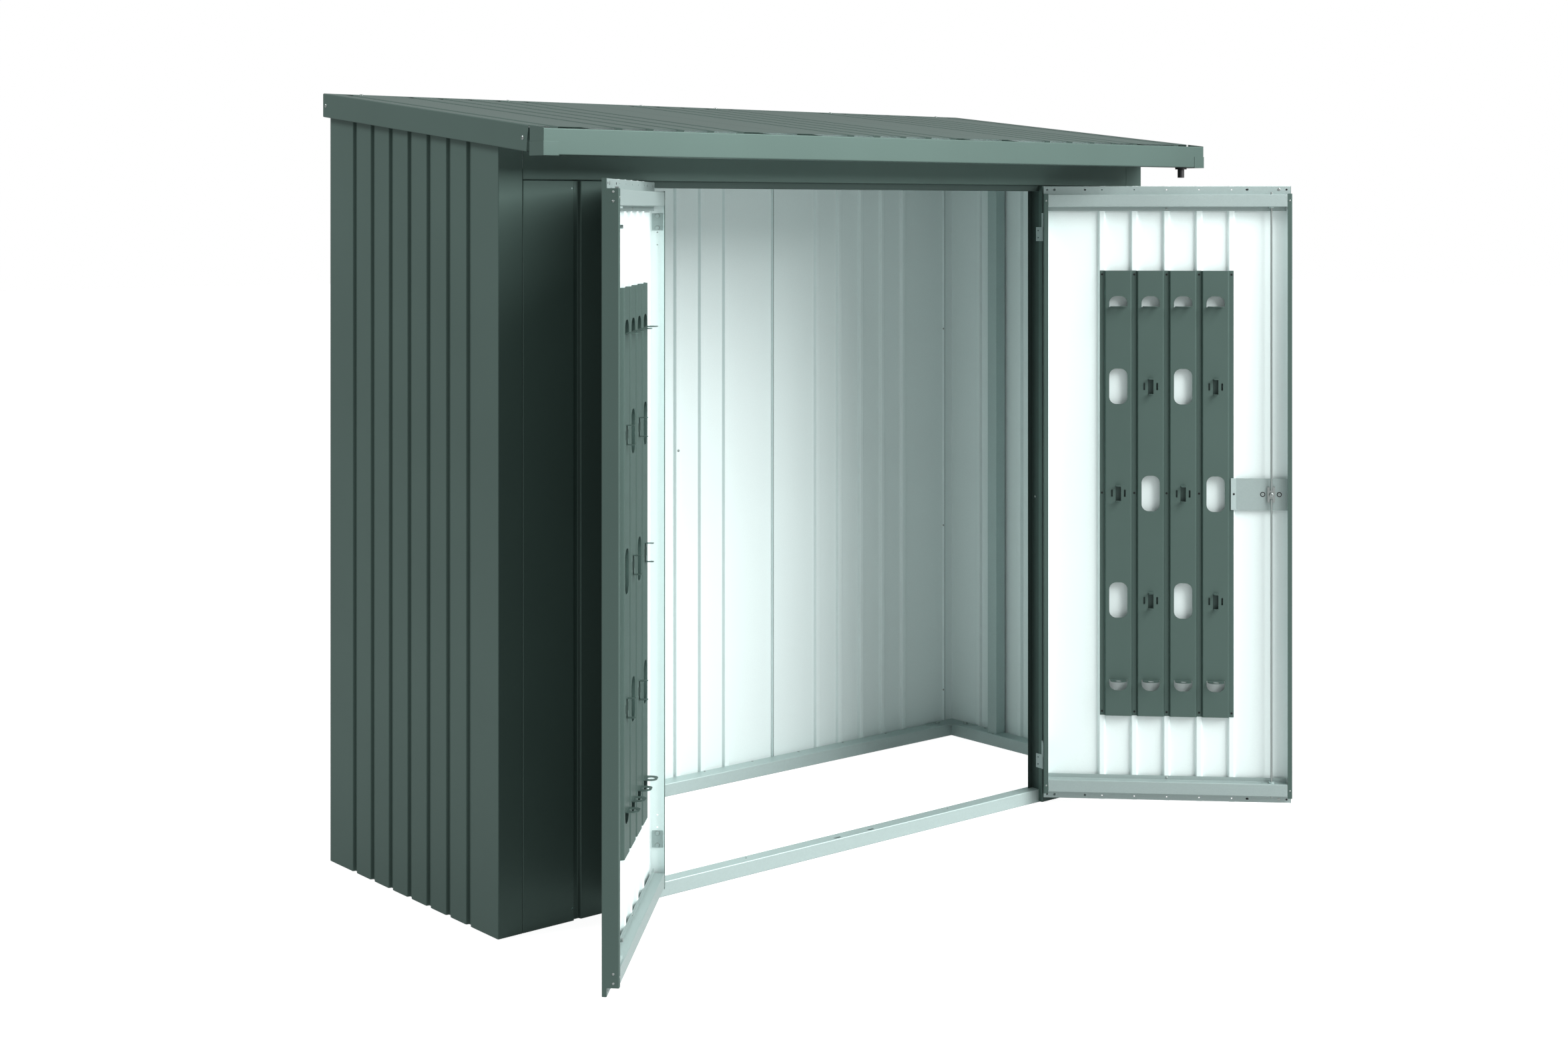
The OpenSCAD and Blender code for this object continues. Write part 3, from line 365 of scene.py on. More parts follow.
def fitting_tree():
    """Sets one fitting on every point, turned as the point says."""
    tree, r, given = geometry_tree("Repeated fittings", [
        ("Fitting", "NodeSocketObject", None), ("Size", "NodeSocketFloat", 1.0),
        ("Finish", "NodeSocketMaterial", None)])
    turn = r.add("GeometryNodeInputNamedAttribute", {"data_type": "FLOAT_VECTOR"},
                 {"Name": "turn"})
    shape = r.add("GeometryNodeObjectInfo", None, {"Object": given["Fitting"]})
    placed = r.add("GeometryNodeInstanceOnPoints", None,
                   {"Points": given["Geometry"], "Instance": shape.outputs["Geometry"],
                    "Rotation": turn.outputs[0], "Scale": given["Size"]})
    real = r.add("GeometryNodeRealizeInstances", None, {"Geometry": placed.outputs[0]})
    done = r.add("GeometryNodeSetMaterial", None,
                 {"Geometry": real.outputs[0], "Material": given["Finish"]})
    r.add("NodeGroupOutput", None, {0: done.outputs[0]})
    return tree


TREES = {}


def grown(obj, tree, **inputs):
    """Runs a geometry tree on obj and keeps its result as a plain mesh."""
    if tree.__name__ not in TREES:
        TREES[tree.__name__] = tree()
    group = TREES[tree.__name__]
    modifier = obj.modifiers.new("Grow", "NODES")
    modifier.node_group = group
    named = {i.name: i.identifier for i in group.interface.items_tree if i.in_out == "INPUT"}
    for name, value in inputs.items():
        modifier[named[name]] = value
    return plain(obj)


# Mesh helpers

def new_object(name, mesh):
    obj = bpy.data.objects.new(name, mesh)
    bpy.context.scene.collection.objects.link(obj)
    return obj


def marked(name, points, edges, label, vectors):
    """An object of points and edges, with a named vector on every point."""
    mesh = bpy.data.meshes.new(name)
    mesh.from_pydata(points, edges, [])
    mesh.attributes.new(label, "FLOAT_VECTOR", "POINT").data.foreach_set(
        "vector", [c for vector in vectors for c in vector])
    return new_object(name, mesh)


def plain(obj):
    """Applies every modifier and leaves a plain mesh."""
    graph = bpy.context.evaluated_depsgraph_get()
    graph.update()
    mesh = bpy.data.meshes.new_from_object(obj.evaluated_get(graph), depsgraph=graph,
                                           preserve_all_data_layers=True)
    obj.modifiers.clear()
    obj.data, old = mesh, obj.data
    bpy.data.meshes.remove(old)
    return obj


def drop(mesh, name):
    """Removes one of the mesh's attributes, if it has it."""
    if name in mesh.attributes:
        mesh.attributes.remove(mesh.attributes[name])


def smooth(obj, angle=FOLD_SHARP):
    """Smooth bends, flat sheets: normals follow the larger faces."""
    mesh = obj.data
    mesh.shade_smooth()
    mesh.set_sharp_from_angle(angle=radians(angle))
    modifier = obj.modifiers.new("Normals", "WEIGHTED_NORMAL")
    modifier.keep_sharp, modifier.weight = True, 100
    return plain(obj)


def arc(u, v, r, start, end, n):
    """Points about u, v from start to end degrees, in n steps."""
    turns = (radians(start + (end - start) * i / n) for i in range(n + 1))
    return [(u + r * cos(a), v + r * sin(a)) for a in turns]


def bends(path, radius, steps):
    """The path with its corners rounded; straight-on points are kept."""
    path = [Vector(p) for p in path]
    points = [path[0]]
    for a, b, c in zip(path, path[1:], path[2:]):
        u, w = (a - b).normalized(), (c - b).normalized()
        half = u.angle(w) / 2
        if half > STRAIGHT or radius <= 0:
            points.append(b)
            continue
        hub = b + (u + w).normalized() * radius / sin(half)
        p, q = (b + v * radius / tan(half) - hub for v in (u, w))
        start = degrees(atan2(p.y, p.x))
        points += arc(*hub, radius, start, start - degrees(p.angle_signed(q)), steps)
    return points + [path[-1]]


def folded(name, runs, thick, face="coat", back=None, radius=None):
    """Sheets folded along paths and drawn from start to end.

    A run is path, place, start and end; start and end may follow u and v. The
    path is the sheet's face. Thickness above 0 lies to its left, else right.
    """
    sizes = bpy.context.scene.log_store_sizes
    radius = sizes.bend_radius / MM if radius is None else radius
    near, far, edges = [], [], []
    for path, place, start, end in runs:
        points = bends(path, radius, sizes.bend_steps)
        start, end = (w if callable(w) else lambda u, v, w=w: w for w in (start, end))
        rising = end(*points[0]) > start(*points[0])
        if (Matrix(axes(place)).determinant() > 0) == ((thick > 0) == rising):
            points.reverse()
        first = len(near)
        near += [place(u, v, start(u, v)) for u, v in points]
        far += [place(u, v, end(u, v)) for u, v in points]
        edges += [(i, i + 1) for i in range(first, len(near) - 1)]
    obj = marked(name, near, edges, "far_end", far)
    grown(obj, sheet_tree, Thickness=abs(thick) * MM, Face=paints()[face],
          Back=paints()[back or face])
    drop(obj.data, "far_end")
    return obj


def lofted(name, stacks):
    """Closed bodies; each is a stack of loops with as many points."""
    bm = bmesh.new()
    for stack in stacks:
        loops = [[bm.verts.new(point) for point in loop] for loop in stack]
        bm.faces.new(loops[0])
        bm.faces.new(loops[-1])
        for low, high in zip(loops, loops[1:]):
            for i in range(len(low)):
                j = (i + 1) % len(low)
                bm.faces.new((low[i], low[j], high[j], high[i]))
    bmesh.ops.recalc_face_normals(bm, faces=bm.faces)
    mesh = bpy.data.meshes.new(name)
    bm.to_mesh(mesh)
    bm.free()
    return new_object(name, mesh)


def prisms(name, shapes):
    """Closed prisms: outline in u and v, its place, and how far it runs in w."""
    return lofted(name, [[[place(u, v, w) for u, v in outline] for w in (low, high)]
                         for outline, place, low, high in shapes])


def cut(obj, shapes):
    """Cuts prisms out of obj."""
    tool = prisms("cutter", shapes)
    modifier = obj.modifiers.new("Cut", "BOOLEAN")
    modifier.operation, modifier.solver, modifier.object = "DIFFERENCE", "EXACT", tool
    plain(obj)
    bpy.data.objects.remove(tool)
    return obj


def disc(u, v, r, n=24):
    return arc(u, v, r, 0, 360, n)[:-1]


def rounded_rect(u, v, w, h, r, n=8):
    corners = enumerate(((1, 1), (-1, 1), (-1, -1), (1, -1)))
    return [p for i, (x, y) in corners
            for p in arc(u + x * (w / 2 - r), v + y * (h / 2 - r), r, 90 * i, 90 * i + 90, n)]


def dee(u, v, w, h, r, up, n=10):
    """Round-topped shape on the middle of its straight edge."""
    top = arc(w / 2 - r, h - r, r, 0, 90, n) + arc(r - w / 2, h - r, r, 90, 180, n)
    return [(u + x, v + up * y) for x, y in [(-w / 2, 0), (w / 2, 0)] + top]


def settle(obj, body, slot, *nodes):
    """Lets a finished piece ride on its body in place of its CAD nodes."""
    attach(obj, body)
    if nodes:
        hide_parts(*nodes)
    return obj


def sheet(name, runs, *nodes, body="shell", thick=SHEET_T, face="coat", back=None,
          radius=None, holes=()):
    """A folded sheet with its holes, settled on its body."""
    obj = folded(name, runs, thick, face, back, radius)
    if holes:
        cut(obj, holes)
    return settle(smooth(obj), body, face, *nodes)


def dress(slot, *nodes):
    """Gives CAD nodes whose shape is right their finish."""
    for node in nodes:
        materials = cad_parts[node].data.materials
        materials.clear()
        materials.append(paints()[slot])


def softened(slot, body, *nodes, edge=None):
    """Copies of CAD nodes with their sharp edges rounded."""
    for node in nodes:
        bm = bmesh.new()
        bm.from_mesh(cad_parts[node].data)
        bmesh.ops.remove_doubles(bm, verts=bm.verts, dist=WELD)
        bmesh.ops.dissolve_limit(bm, angle_limit=radians(1), verts=bm.verts, edges=bm.edges)
        mesh = bpy.data.meshes.new(node + "_dressed")
        bm.to_mesh(mesh)
        bm.free()
        drop(mesh, "custom_normal")
        mesh.materials.append(paints()[slot])
        obj = new_object(mesh.name, mesh)
        bevel = obj.modifiers.new("Edges", "BEVEL")
        bevel.width, bevel.segments = (edge or EDGES[slot]) * MM, 2
        bevel.limit_method, bevel.angle_limit = "ANGLE", radians(35)
        plain(obj)
        settle(smooth(obj, PIECE_SHARP), body, slot, node)


def joined(name, pieces):
    """One object from several."""
    with bpy.context.temp_override(active_object=pieces[0], object=pieces[0],
                                   selected_editable_objects=pieces, selected_objects=pieces):
        bpy.ops.object.join()
    pieces[0].name = name
    return pieces[0]


# Paths of the folded sheets

def groove(c, way=1):
    """The four folds of a groove about c."""
    half, floor = way * GROOVE_OPEN / 2, way * GROOVE_FLOOR / 2
    return [(c - half, 0), (c - floor, GROOVE_D), (c + floor, GROOVE_D), (c + half, 0)]


def centres(count, middle=0):
    return [middle + (i - (count - 1) / 2) * PITCH for i in range(count)]


def ribbed(grooves, right, left):
    """A sheet with sunk grooves and a lip down at both ends."""
    sunk = [(u, -v) for c in sorted(grooves, reverse=True) for u, v in groove(c, -1)]
    return [(right, -RIB_IN), (right, 0), *sunk, (left, 0), (left, -RIB_IN)]


def side_wall_path():
    ribs = [(WALL_HALF - v, u) for c in centres(7, -WALL_D / 2) for u, v in groove(c)]
    return [(FRONT_SEAM, -WALL_D + RIB_IN), (FRONT_SEAM, -WALL_D), (FRONT_STEP, -WALL_D),
            (FRONT_STEP + 1, -WALL_D), (WALL_HALF, -WALL_D), *ribs, (WALL_HALF, 0),
            (BACK_SEAM, 0), (BACK_SEAM, -RIB_IN)]


def wall_top(u, v):
    """A side wall's upper edge: level in its back return, else under the roof sheet."""
    if v > -BACK_FOLD:
        return BACK_TRIM_Z
    return roof_z(v, RIB_IN if u < FRONT_STEP + 0.5 else SHEET_T)


def hat(a):
    """A base rail's cross-section, open downwards, with its lips on the ground."""
    return [(a - RAIL_LIP, 0), (a, 0), (a, RAIL_H), (a - RAIL_W, RAIL_H), (a - RAIL_W, 0),
            (a - RAIL_W + RAIL_LIP, 0)]


def board_path():
    path = []
    for m in centres(5, DOOR_W / 2):
        path += [(m - BOARD_FOLD, BOARD_IN), (m - BOARD_FLOOR, RIB_IN),
                 (m + BOARD_FLOOR, RIB_IN), (m + BOARD_FOLD, BOARD_IN)]
    return path[1:-1]


def on_face(u, v, w):
    """Across the front, up it, and into it."""
    return across(w, v, u)


def door_face(side):
    """Across a door, up it, and inwards from its outer face."""
    place = on_door(side)
    return lambda u, v, w: place(u, w, v)


# Repeated fittings

# Heads of radius 1 mm, as rows of radius and height
HEADS = {
    "pan": [(1, 0), (1, .1), (.94, .24), (.75, .36), (.5, .42), (.46, .42, "cross"),
            (.4, .16, "cross"), (.16, .1, "cross")],
    "rivet": [(1, 0), (1, .08), (.92, .26), (.66, .42), (.42, .48), (.34, .46), (.3, .22),
              (.12, .2)],
    "bolt": [(1, 0), (1, .05, 6), (1, .56, 6), (.93, .64, 6), (.82, .66), (.1, .66)],
    "boss": [(1, 0), (1, .05), (.93, .11), (.78, .15), (.5, .17), (.1, .17)],
}


def round_head(kind):
    """A lathed head; a row's third value makes it six-sided or a cross recess."""
    sides, loops = 24, []
    for radius, height, *form in HEADS[kind]:
        loop = []
        for i in range(sides):
            a, r = tau * i / sides, radius
            if form == [6]:
                r *= cos(pi / 6) / cos(a % (pi / 3) - pi / 6)
            elif form:
                r *= 0.4 + 0.6 * max(abs(cos(a)), abs(sin(a))) ** 12
            loop.append(Vector((r * cos(a), r * sin(a), height)) * MM)
        loops.append(loop)
    return lofted(kind, [loops])


def fittings(name, template, size, paint, spots):
    """Copies of the template at spots: point, outward axis and, if it matters, a second axis."""
    points, turns = [], []
    for point, out, *second in spots:
        points.append(point)
        if second:
            x = second[0].cross(out).normalized()
            turn = Matrix((x, second[0].normalized(), out.normalized())).transposed()
        else:
            turn = out.to_track_quat("Z", "Y")
        turns.append(turn.to_euler())
    obj = marked(name, points, [], "turn", turns)
    return grown(obj, fitting_tree, Fitting=template, Size=float(size), Finish=paints()[paint])


def heads(name, groups):
    """Screw, rivet and bolt heads: groups of kind, radius, spots and, if not bright, finish."""
    made = []
    for kind, radius, spots, *paint in (group for group in groups if group[2]):
        template = round_head(kind)
        made.append(fittings(name, template, radius, *paint or ["steel"], spots))
        bpy.data.objects.remove(template)
    return smooth(joined(name, made), PIECE_SHARP)


def bent_tab(name, width, reach, corner, hole=0):
    """A tab bent out of a board: x across, y out of the board, z up from its root."""
    tab = folded(name, [([(0, -0.05), (0, TAB_FACE), (reach, TAB_FACE)],
                         lambda u, v, w: Vector((w, u, v)) * MM, -width / 2, width / 2)],
                 -BOARD_T, radius=TAB_BEND)
    through = (lambda u, v, w: Vector((u, v, w)) * MM, *TAB_CUT)
    x, y, shapes = width / 2 - corner, reach - corner, []
    for side in (1, -1):
        bend, far = arc(side * x, y, corner, 90 - 90 * side, 90, 10), side * (width / 2 + 1)
        shapes.append(([(far, y)] + bend + [(side * x, reach + 1), (far, reach + 1)], *through))
    if hole:
        shapes.append((disc(0, reach / 2, hole, 32), *through))
    return cut(tab, shapes)


# Studio

def bright(strength):
    """White surroundings of one strength."""
    return lambda r: r.add("ShaderNodeBackground", None,
                           {"Color": (1, 1, 1, 1), "Strength": strength}).outputs[0]


def glowing(colour, strength):
    """A matt white surface that also glows a little."""
    def make(r):
        matt = r.add("ShaderNodeBsdfDiffuse", None, {"Color": (*colour, 1)})
        glow = r.add("ShaderNodeEmission", None, {"Strength": strength})
        return r.add("ShaderNodeAddShader", None,
                     {0: matt.outputs[0], 1: glow.outputs[0]}).outputs[0]
    return make


def lit_and_seen(tree, output, lighting, backdrop):
    """A white backdrop in every picture, whose light on the object is softer."""
    r = Recipe(tree)
    seen = r.add("ShaderNodeLightPath").outputs["Is Camera Ray"]
    both = r.add("ShaderNodeMixShader", None, {0: seen, 1: lighting(r), 2: backdrop(r)})
    r.add(output, None, {0: both.outputs[0]})


# Settings

class LogStoreSizes(bpy.types.PropertyGroup):
    bend_radius: FloatProperty(name="Bend radius", description="Outer radius of the sheets' folds",
                               default=BEND * MM, min=0.001, max=0.005, unit="LENGTH")
    bend_steps: IntProperty(name="Bend steps", description="Flat steps in a fold", default=6,
                            min=3, max=12)


class LogStoreFinish(bpy.types.PropertyGroup):
    coat: FloatVectorProperty(name="Coat", description="Powder coat outside and on the boards",
                              default=(0.078, 0.120, 0.107), min=0, max=1, subtype="COLOR")
    coat_gloss: FloatProperty(name="Coat roughness", description="Roughness of the powder coat",
                              default=0.4, min=0.1, max=1, subtype="FACTOR")
    trim: FloatVectorProperty(name="Trim", description="Coat of the jambs, lintel and hinges",
                              default=(0.05, 0.076, 0.069), min=0, max=1, subtype="COLOR")
    backing: FloatVectorProperty(name="Backing", description="Pale coat on the sheets' backs",
                                 default=(0.75, 0.848, 0.838), min=0, max=1, subtype="COLOR")
    zinc: FloatVectorProperty(name="Zinc", description="Galvanised rails, channels and posts",
                              default=(0.42, 0.52, 0.507), min=0, max=1, subtype="COLOR")


class LogStoreStudio(bpy.types.PropertyGroup):
    daylight: FloatProperty(name="Daylight", description="Strength of the white surroundings",
                            default=0.52, min=0, max=5)
    key: FloatProperty(name="Key light", description="Power of the large soft light in front",
                       default=860, min=0, max=2000, unit="POWER")
    floor: FloatVectorProperty(name="Floor", description="Colour of the floor",
                               default=(0.95, 0.95, 0.95), min=0, max=1, subtype="COLOR")


# Pieces

class LogStorePiece:
    """What the operators share."""
    bl_options = {"REGISTER", "UNDO"}


class LOGSTORE_OT_walls(LogStorePiece, bpy.types.Operator):
    """Ribbed side walls and back sheets"""
    bl_idname = "log_store.walls"
    bl_label = "Walls"

    def execute(self, context):
        for side, _, place in both_sides(in_plan):
            sheet(f"side_wall_{side}_sheet", [(side_wall_path(), place, WALL_FOOT, wall_top)],
                  f"side_wall_{side}", back="backing")
        runs = [(ribbed(centres(5, n * PANEL_W), (n + 0.5) * PANEL_W, (n - 0.5) * PANEL_W),
                 in_plan, WALL_FOOT, BACK_TRIM_Z) for n in (-1, 0, 1)]
        sheet("back_sheets", runs, "back_panel_left", "back_panel_mid", "back_panel_right",
              back="backing")
        return {"FINISHED"}


class LOGSTORE_OT_front_frame(LogStorePiece, bpy.types.Operator):
    """Fixed front sheets, header, lintel, jambs and stops"""
    bl_idname = "log_store.front_frame"
    bl_label = "Front frame"

    def execute(self, context):
        front = [(OPEN_HALF, FRAME_FRONT), (OPEN_HALF, -WALL_D),
                 *[(u, v - WALL_D) for u, v in groove(PANEL_W + 2 * PITCH)],
                 (FRONT_SEAM, -WALL_D), (FRONT_SEAM, -WALL_D + RIB_IN)]
        x, heights, radius = FRONT_HOLES
        for side, sign, place in both_sides(in_plan):
            holes = [(disc(sign * x, z, radius), on_face, *FRONT_CUT) for z in heights]
            sheet(f"front_sheet_{side}", [(front, place, WALL_FOOT, HEADER_Z - FRONT_GAP)],
                  f"front_panel_{side}", back="backing", holes=holes)
        header = [(STOP_Y, roof_z(STOP_Y, RIB_IN)), (-WALL_D, roof_z(-WALL_D, RIB_IN)),
                  (-WALL_D, HEADER_Z), (FRAME_FRONT, HEADER_Z)]
        sheet("header_beam", [(header, across, -FRONT_SEAM, FRONT_SEAM)], "header", thick=FRAME_T)
        dress("trim", "lintel", "jambs", "door_stops")
        return {"FINISHED"}


class LOGSTORE_OT_base(LogStorePiece, bpy.types.Operator):
    """Zinc-coated base rails, posts, and the corner plates"""
    bl_idname = "log_store.base"
    bl_label = "Base"

    def execute(self, context):
        foot = FRAME_FRONT + FRONT_RAIL
        front = [(FRAME_FRONT + RAIL_LIP, 0), (FRAME_FRONT, 0), (FRAME_FRONT, RAIL_H),
                 (foot, RAIL_H), (foot, RAIL_H - FRONT_RAIL_LIP)]
        holes = [(shape(side * size[0], *size[1:]), in_plan, *RAIL_CUT)
                 for shape, size in ((rounded_rect, BOLT_SLOT), (disc, ANCHOR))
                 for side in (-1, 1)]
        sheet("front_base_rail", [(front, across, -FRAME_X, FRAME_X)], "base_rail_front",
              thick=-FRAME_T, face="zinc", holes=holes)
        sheet("back_base_rail", [(hat(-RIB_IN), across, -FRAME_X, FRAME_X)],
              "base_rail_back", thick=FRAME_T, face="zinc")
        inner = -RIB_IN - RAIL_W

        def along(u, v, w):
            return in_plan(u, inner - w, v)

        sheet("side_base_rails", [(hat(FRAME_X), place, 0, -foot + inner)
                                  for place in (along, mirrored(along))],
              "base_rails_side", thick=FRAME_T, face="zinc")
        softened("dull", "shell", "base_gussets", edge=THICK_EDGE)
        dress("zinc", "side_posts")
        return {"FINISHED"}


class LOGSTORE_OT_roof(LogStorePiece, bpy.types.Operator):
    """Ribbed roof sheets, their trims and the rails under them"""
    bl_idname = "log_store.roof"
    bl_label = "Roof"

    def execute(self, context):
        both = on_roof, mirrored(on_roof)
        wide = ribbed(centres(5), PANEL_W / 2, -PANEL_W / 2)
        end = ribbed([BACK_SEAM, *centres(5, PANEL_W)], ROOF_HALF - BEND, PANEL_W / 2)[1:]
        for node, path, place in (("mid", wide, on_roof), ("right", end, on_roof),
                                  ("left", end, both[1])):
            sheet(f"roof_sheet_{node}", [(path, place, *ROOF_RUN)], f"roof_panel_{node}",
                  back="backing")
        lip = ROOF_HALF - TRIM_LIP
        ridge = [(-TRIM_LEG, roof_z(-TRIM_LEG, -SHEET_T)), (0, roof_z(0, -SHEET_T)),
                 (0, BACK_TRIM_Z)]
        ends = [(0, BACK_TRIM_TOP), (0, BACK_TRIM_Z)]
        sheet("back_trim", [(ridge, across, -lip, lip), (ends, across, lip, ROOF_HALF),
                            (ends, across, -ROOF_HALF, -lip)], "roof_trim_back", thick=-TRIM_T)
        verge = [(ROOF_HALF - TRIM_HEM, -TRIM_H), (ROOF_HALF, -TRIM_H), (ROOF_HALF, TRIM_T),
                 (lip, TRIM_T)]

        def plumb(u, v):
            return (TRIM_T - v * sin(SLOPE)) / cos(SLOPE)

        sheet("side_trims", [(verge, place, plumb, GUTTER_BACK) for place in both],
              "roof_trims_side", thick=TRIM_T)
        inner = -RIB_IN - ROOF_RAIL_W
        rail = [(inner, roof_z(inner, RIB_IN)), (-RIB_IN, roof_z(-RIB_IN, RIB_IN)),
                (-RIB_IN, ROOF_RAIL_FOOT)]
        sheet("back_roof_rail", [(rail, across, -FRAME_X, FRAME_X)], "roof_rail_back",
              thick=-FRAME_T, face="zinc")
        angle = [(FRAME_X - ROOF_RAIL_W, -RIB_IN), (FRAME_X, -RIB_IN),
                 (FRAME_X, -RIB_IN - ROOF_RAIL_H)]
        sheet("side_roof_rails", [(angle, place, *SIDE_RAIL_RUN) for place in both],
              "roof_rails_side", thick=-FRAME_T, face="zinc")
        dress("zinc", "purlin")
        return {"FINISHED"}


class LOGSTORE_OT_gutter(LogStorePiece, bpy.types.Operator):
    """Box gutter with its end caps, corner clips and hose outlet"""
    bl_idname = "log_store.gutter"
    bl_label = "Gutter"

    def execute(self, context):
        trough = [(-GUTTER_FRONT + GUTTER_HEM, GUTTER_RIM), (-GUTTER_FRONT, GUTTER_RIM),
                  (-GUTTER_FRONT, GUTTER_Z), (-GUTTER_BACK, GUTTER_Z),
                  (-GUTTER_BACK, roof_z(-GUTTER_BACK, RIB_IN))]
        end = ROOF_HALF - GUTTER_T
        sheet("gutter_trough", [(trough, across, -end, end)], "gutter", thick=GUTTER_T,
              holes=[(disc(*OUTLET, 32), in_plan, *GUTTER_CUT)])
        softened("coat", "shell", "gutter_end_caps")
        softened("coat", "shell", "gutter_clips", edge=THICK_EDGE)
        softened("plastic", "shell", "gutter_outlet")
        return {"FINISHED"}


class LOGSTORE_OT_doors(LogStorePiece, bpy.types.Operator):
    """Ribbed door skins with their folded edges, and the cross channels"""
    bl_idname = "log_store.doors"
    bl_label = "Doors"

    def execute(self, context):
        grooves = centres(5, DOOR_W / 2)
        skin = [(DOOR_LIP, DOOR_T), (0, DOOR_T), (0, EDGE_STEP), (0, RIB_IN), (0, 0)]
        for c in grooves:
            skin += groove(c)
        skin += [(DOOR_W - s, t) for s, t in skin[4::-1]]

        def end(edge, face):
            return lambda s, t: edge if t > (EDGE_STEP + RIB_IN) / 2 else face

        for side, body in SIDES:
            place, face = on_door(side), door_face(side)

            def beside(u, v, w, place=place):
                return place(w, u, v)

            holes = [(disc(c, z, DOOR_HOLE), face, *HEM_CUT)
                     for c in grooves for z in (2 * DOOR_MID - HEM_Z, HEM_Z)]
            holes += [(disc(DOOR_T / 2, z, DOOR_HOLE), beside, *EDGE_CUT) for z in EDGE_HOLES]
            if side > 0:
                holes.append((disc(LOCK_S, DOOR_MID, LOCK_HOLE, 32), face, *LOCK_CUT))
            sheet(f"{body}_door_sheet",
                  [(skin, place, end(EDGE_FOOT, DOOR_FOOT), end(EDGE_TOP, DOOR_TOP))],
                  f"{body}_door_skin", f"{body}_door_edges", body=f"{body}_door",
                  back="backing", radius=DOOR_BEND, holes=holes)
            dress("dull", f"{body}_door_channels")
        return {"FINISHED"}


class LOGSTORE_OT_tool_boards(LogStorePiece, bpy.types.Operator):
    """Punched tool boards with their ring tabs and hook tabs"""
    bl_idname = "log_store.tool_boards"
    bl_label = "Tool boards"

    def execute(self, context):
        far = ROWS_FAR - DEE[1] / 2
        ring, hook = bent_tab("ring tab", *RING_TAB), bent_tab("hook tab", *HOOK_TAB)
        for side, body in SIDES:
            place, through = on_door(side), (door_face(side), *BOARD_CUT)
            holes, rings, hooks, shade_plates = [], [], [], []
            out = axes(place)[1]
            for i, s in enumerate(centres(4, DOOR_W / 2)):
                for up in (1, -1):
                    z = DOOR_MID + up * far
                    holes.append((dee(s, z, *DEE, up), *through))
                    rings.append((place(s, BOARD_IN, z), Vector((0, 0, up)), out))
                for row in (-1, 0, 1):
                    z = DOOR_MID + row * ROWS_NEAR
                    if (i + (row != 0)) % 2:
                        holes.append((rounded_rect(s, z, *SLOT, 10), *through))
                        continue
                    holes.append((rounded_rect(s, z, *HOOK_HOLE, 3), *through))
                    holes += [(rounded_rect(s + x, z, *SLIT, 5), *through)
                              for x in (-SLIT_S, SLIT_S)]
                    hooks += [(place(s, BOARD_IN, z + up * HOOK_HOLE[1] / 2),
                               Vector((0, 0, -up)), out) for up in (1, -1)]
                    # Painted shade: a dark sheet behind the hook window, so the window looks black
                    shade_plates.append(([(s + x, t) for x, t in SHADE_PLATE], place,
                                       z - SHADE_PLATE_H / 2, z + SHADE_PLATE_H / 2))
            sheet(f"{body}_board", [(board_path(), place, *about_mid(BOARD_H))],
                  f"{body}_tool_board", body=f"{body}_door", thick=BOARD_T,
                  radius=BOARD_BEND, holes=holes)
            for name, template, spots in (("tool_rings", ring, rings), ("hook_tabs", hook, hooks)):
                tabs = fittings(f"{body}_{name}_bent", template, 1, "coat", spots)
                settle(smooth(tabs), f"{body}_door", "coat", f"{body}_{name}")
            # The dark sheets behind the hook windows are painted shade
            sheet(f"{body}_hook_stiffeners", shade_plates, body=f"{body}_door",
                  thick=-SHEET_T, face="trim", radius=BOARD_BEND)
        for template in (ring, hook):
            bpy.data.objects.remove(template)
        return {"FINISHED"}


class LOGSTORE_OT_lock(LogStorePiece, bpy.types.Operator):
    """Lock plate, handle, cam, rods and the left door's bolts"""
    bl_idname = "log_store.lock"
    bl_label = "Lock and bolts"

    def execute(self, context):
        softened("dull", "right_door", "right_lock_plate", edge=PLATE_EDGE)
        place, face = on_door(1), door_face(1)
        sheet("lock_plate_lip", [(PLATE_LIP, place, *about_mid(PLATE_H))],
              body="right_door", thick=-SHEET_T, face="zinc", radius=0)
        # The black rings round the lock screws are painted shade
        radius, *depths = LOCK_SHADE_RING
        rings = prisms("lock_screw_rings", [(disc(LOCK_S + d, DOOR_MID, radius, 32), face, *depths)
                                            for d in (-LOCK_SCREW_S, LOCK_SCREW_S)])
        rings.data.materials.append(paints()["plastic"])
        settle(smooth(rings), "right_door", "plastic")
        cap = [(place(LOCK_S, SPINDLE_END, DOOR_MID), axes(place)[1])]
        settle(heads("spindle_screw_head", [("pan", 6.2, cap)]), "lock", "steel")
        softened("plastic", "right_door", "right_escutcheon")
        softened("plastic", "lock", "lock_handle")
        softened("steel", "lock", "lock_cam")
        softened("steel", "upper_bolt", "upper_rod")
        softened("steel", "lower_bolt", "lower_rod")
        softened("zinc", "right_door", "right_rod_guides")
        softened("zinc", "left_door", "left_bolt_guides")
        softened("steel", "left_upper_bolt", "left_top_bolt")
        softened("steel", "left_lower_bolt", "left_bottom_bolt")
        return {"FINISHED"}


class LOGSTORE_OT_hinges(LogStorePiece, bpy.types.Operator):
    """Lift-off hinges and the plates inside the doors"""
    bl_idname = "log_store.hinges"
    bl_label = "Hinges"

    def execute(self, context):
        softened("dull", "shell", "frame_hinges_left", "frame_hinges_right")
        for body in ("left", "right"):
            softened("dull", f"{body}_door", f"{body}_door_hinges", f"{body}_hinge_plates")
        return {"FINISHED"}


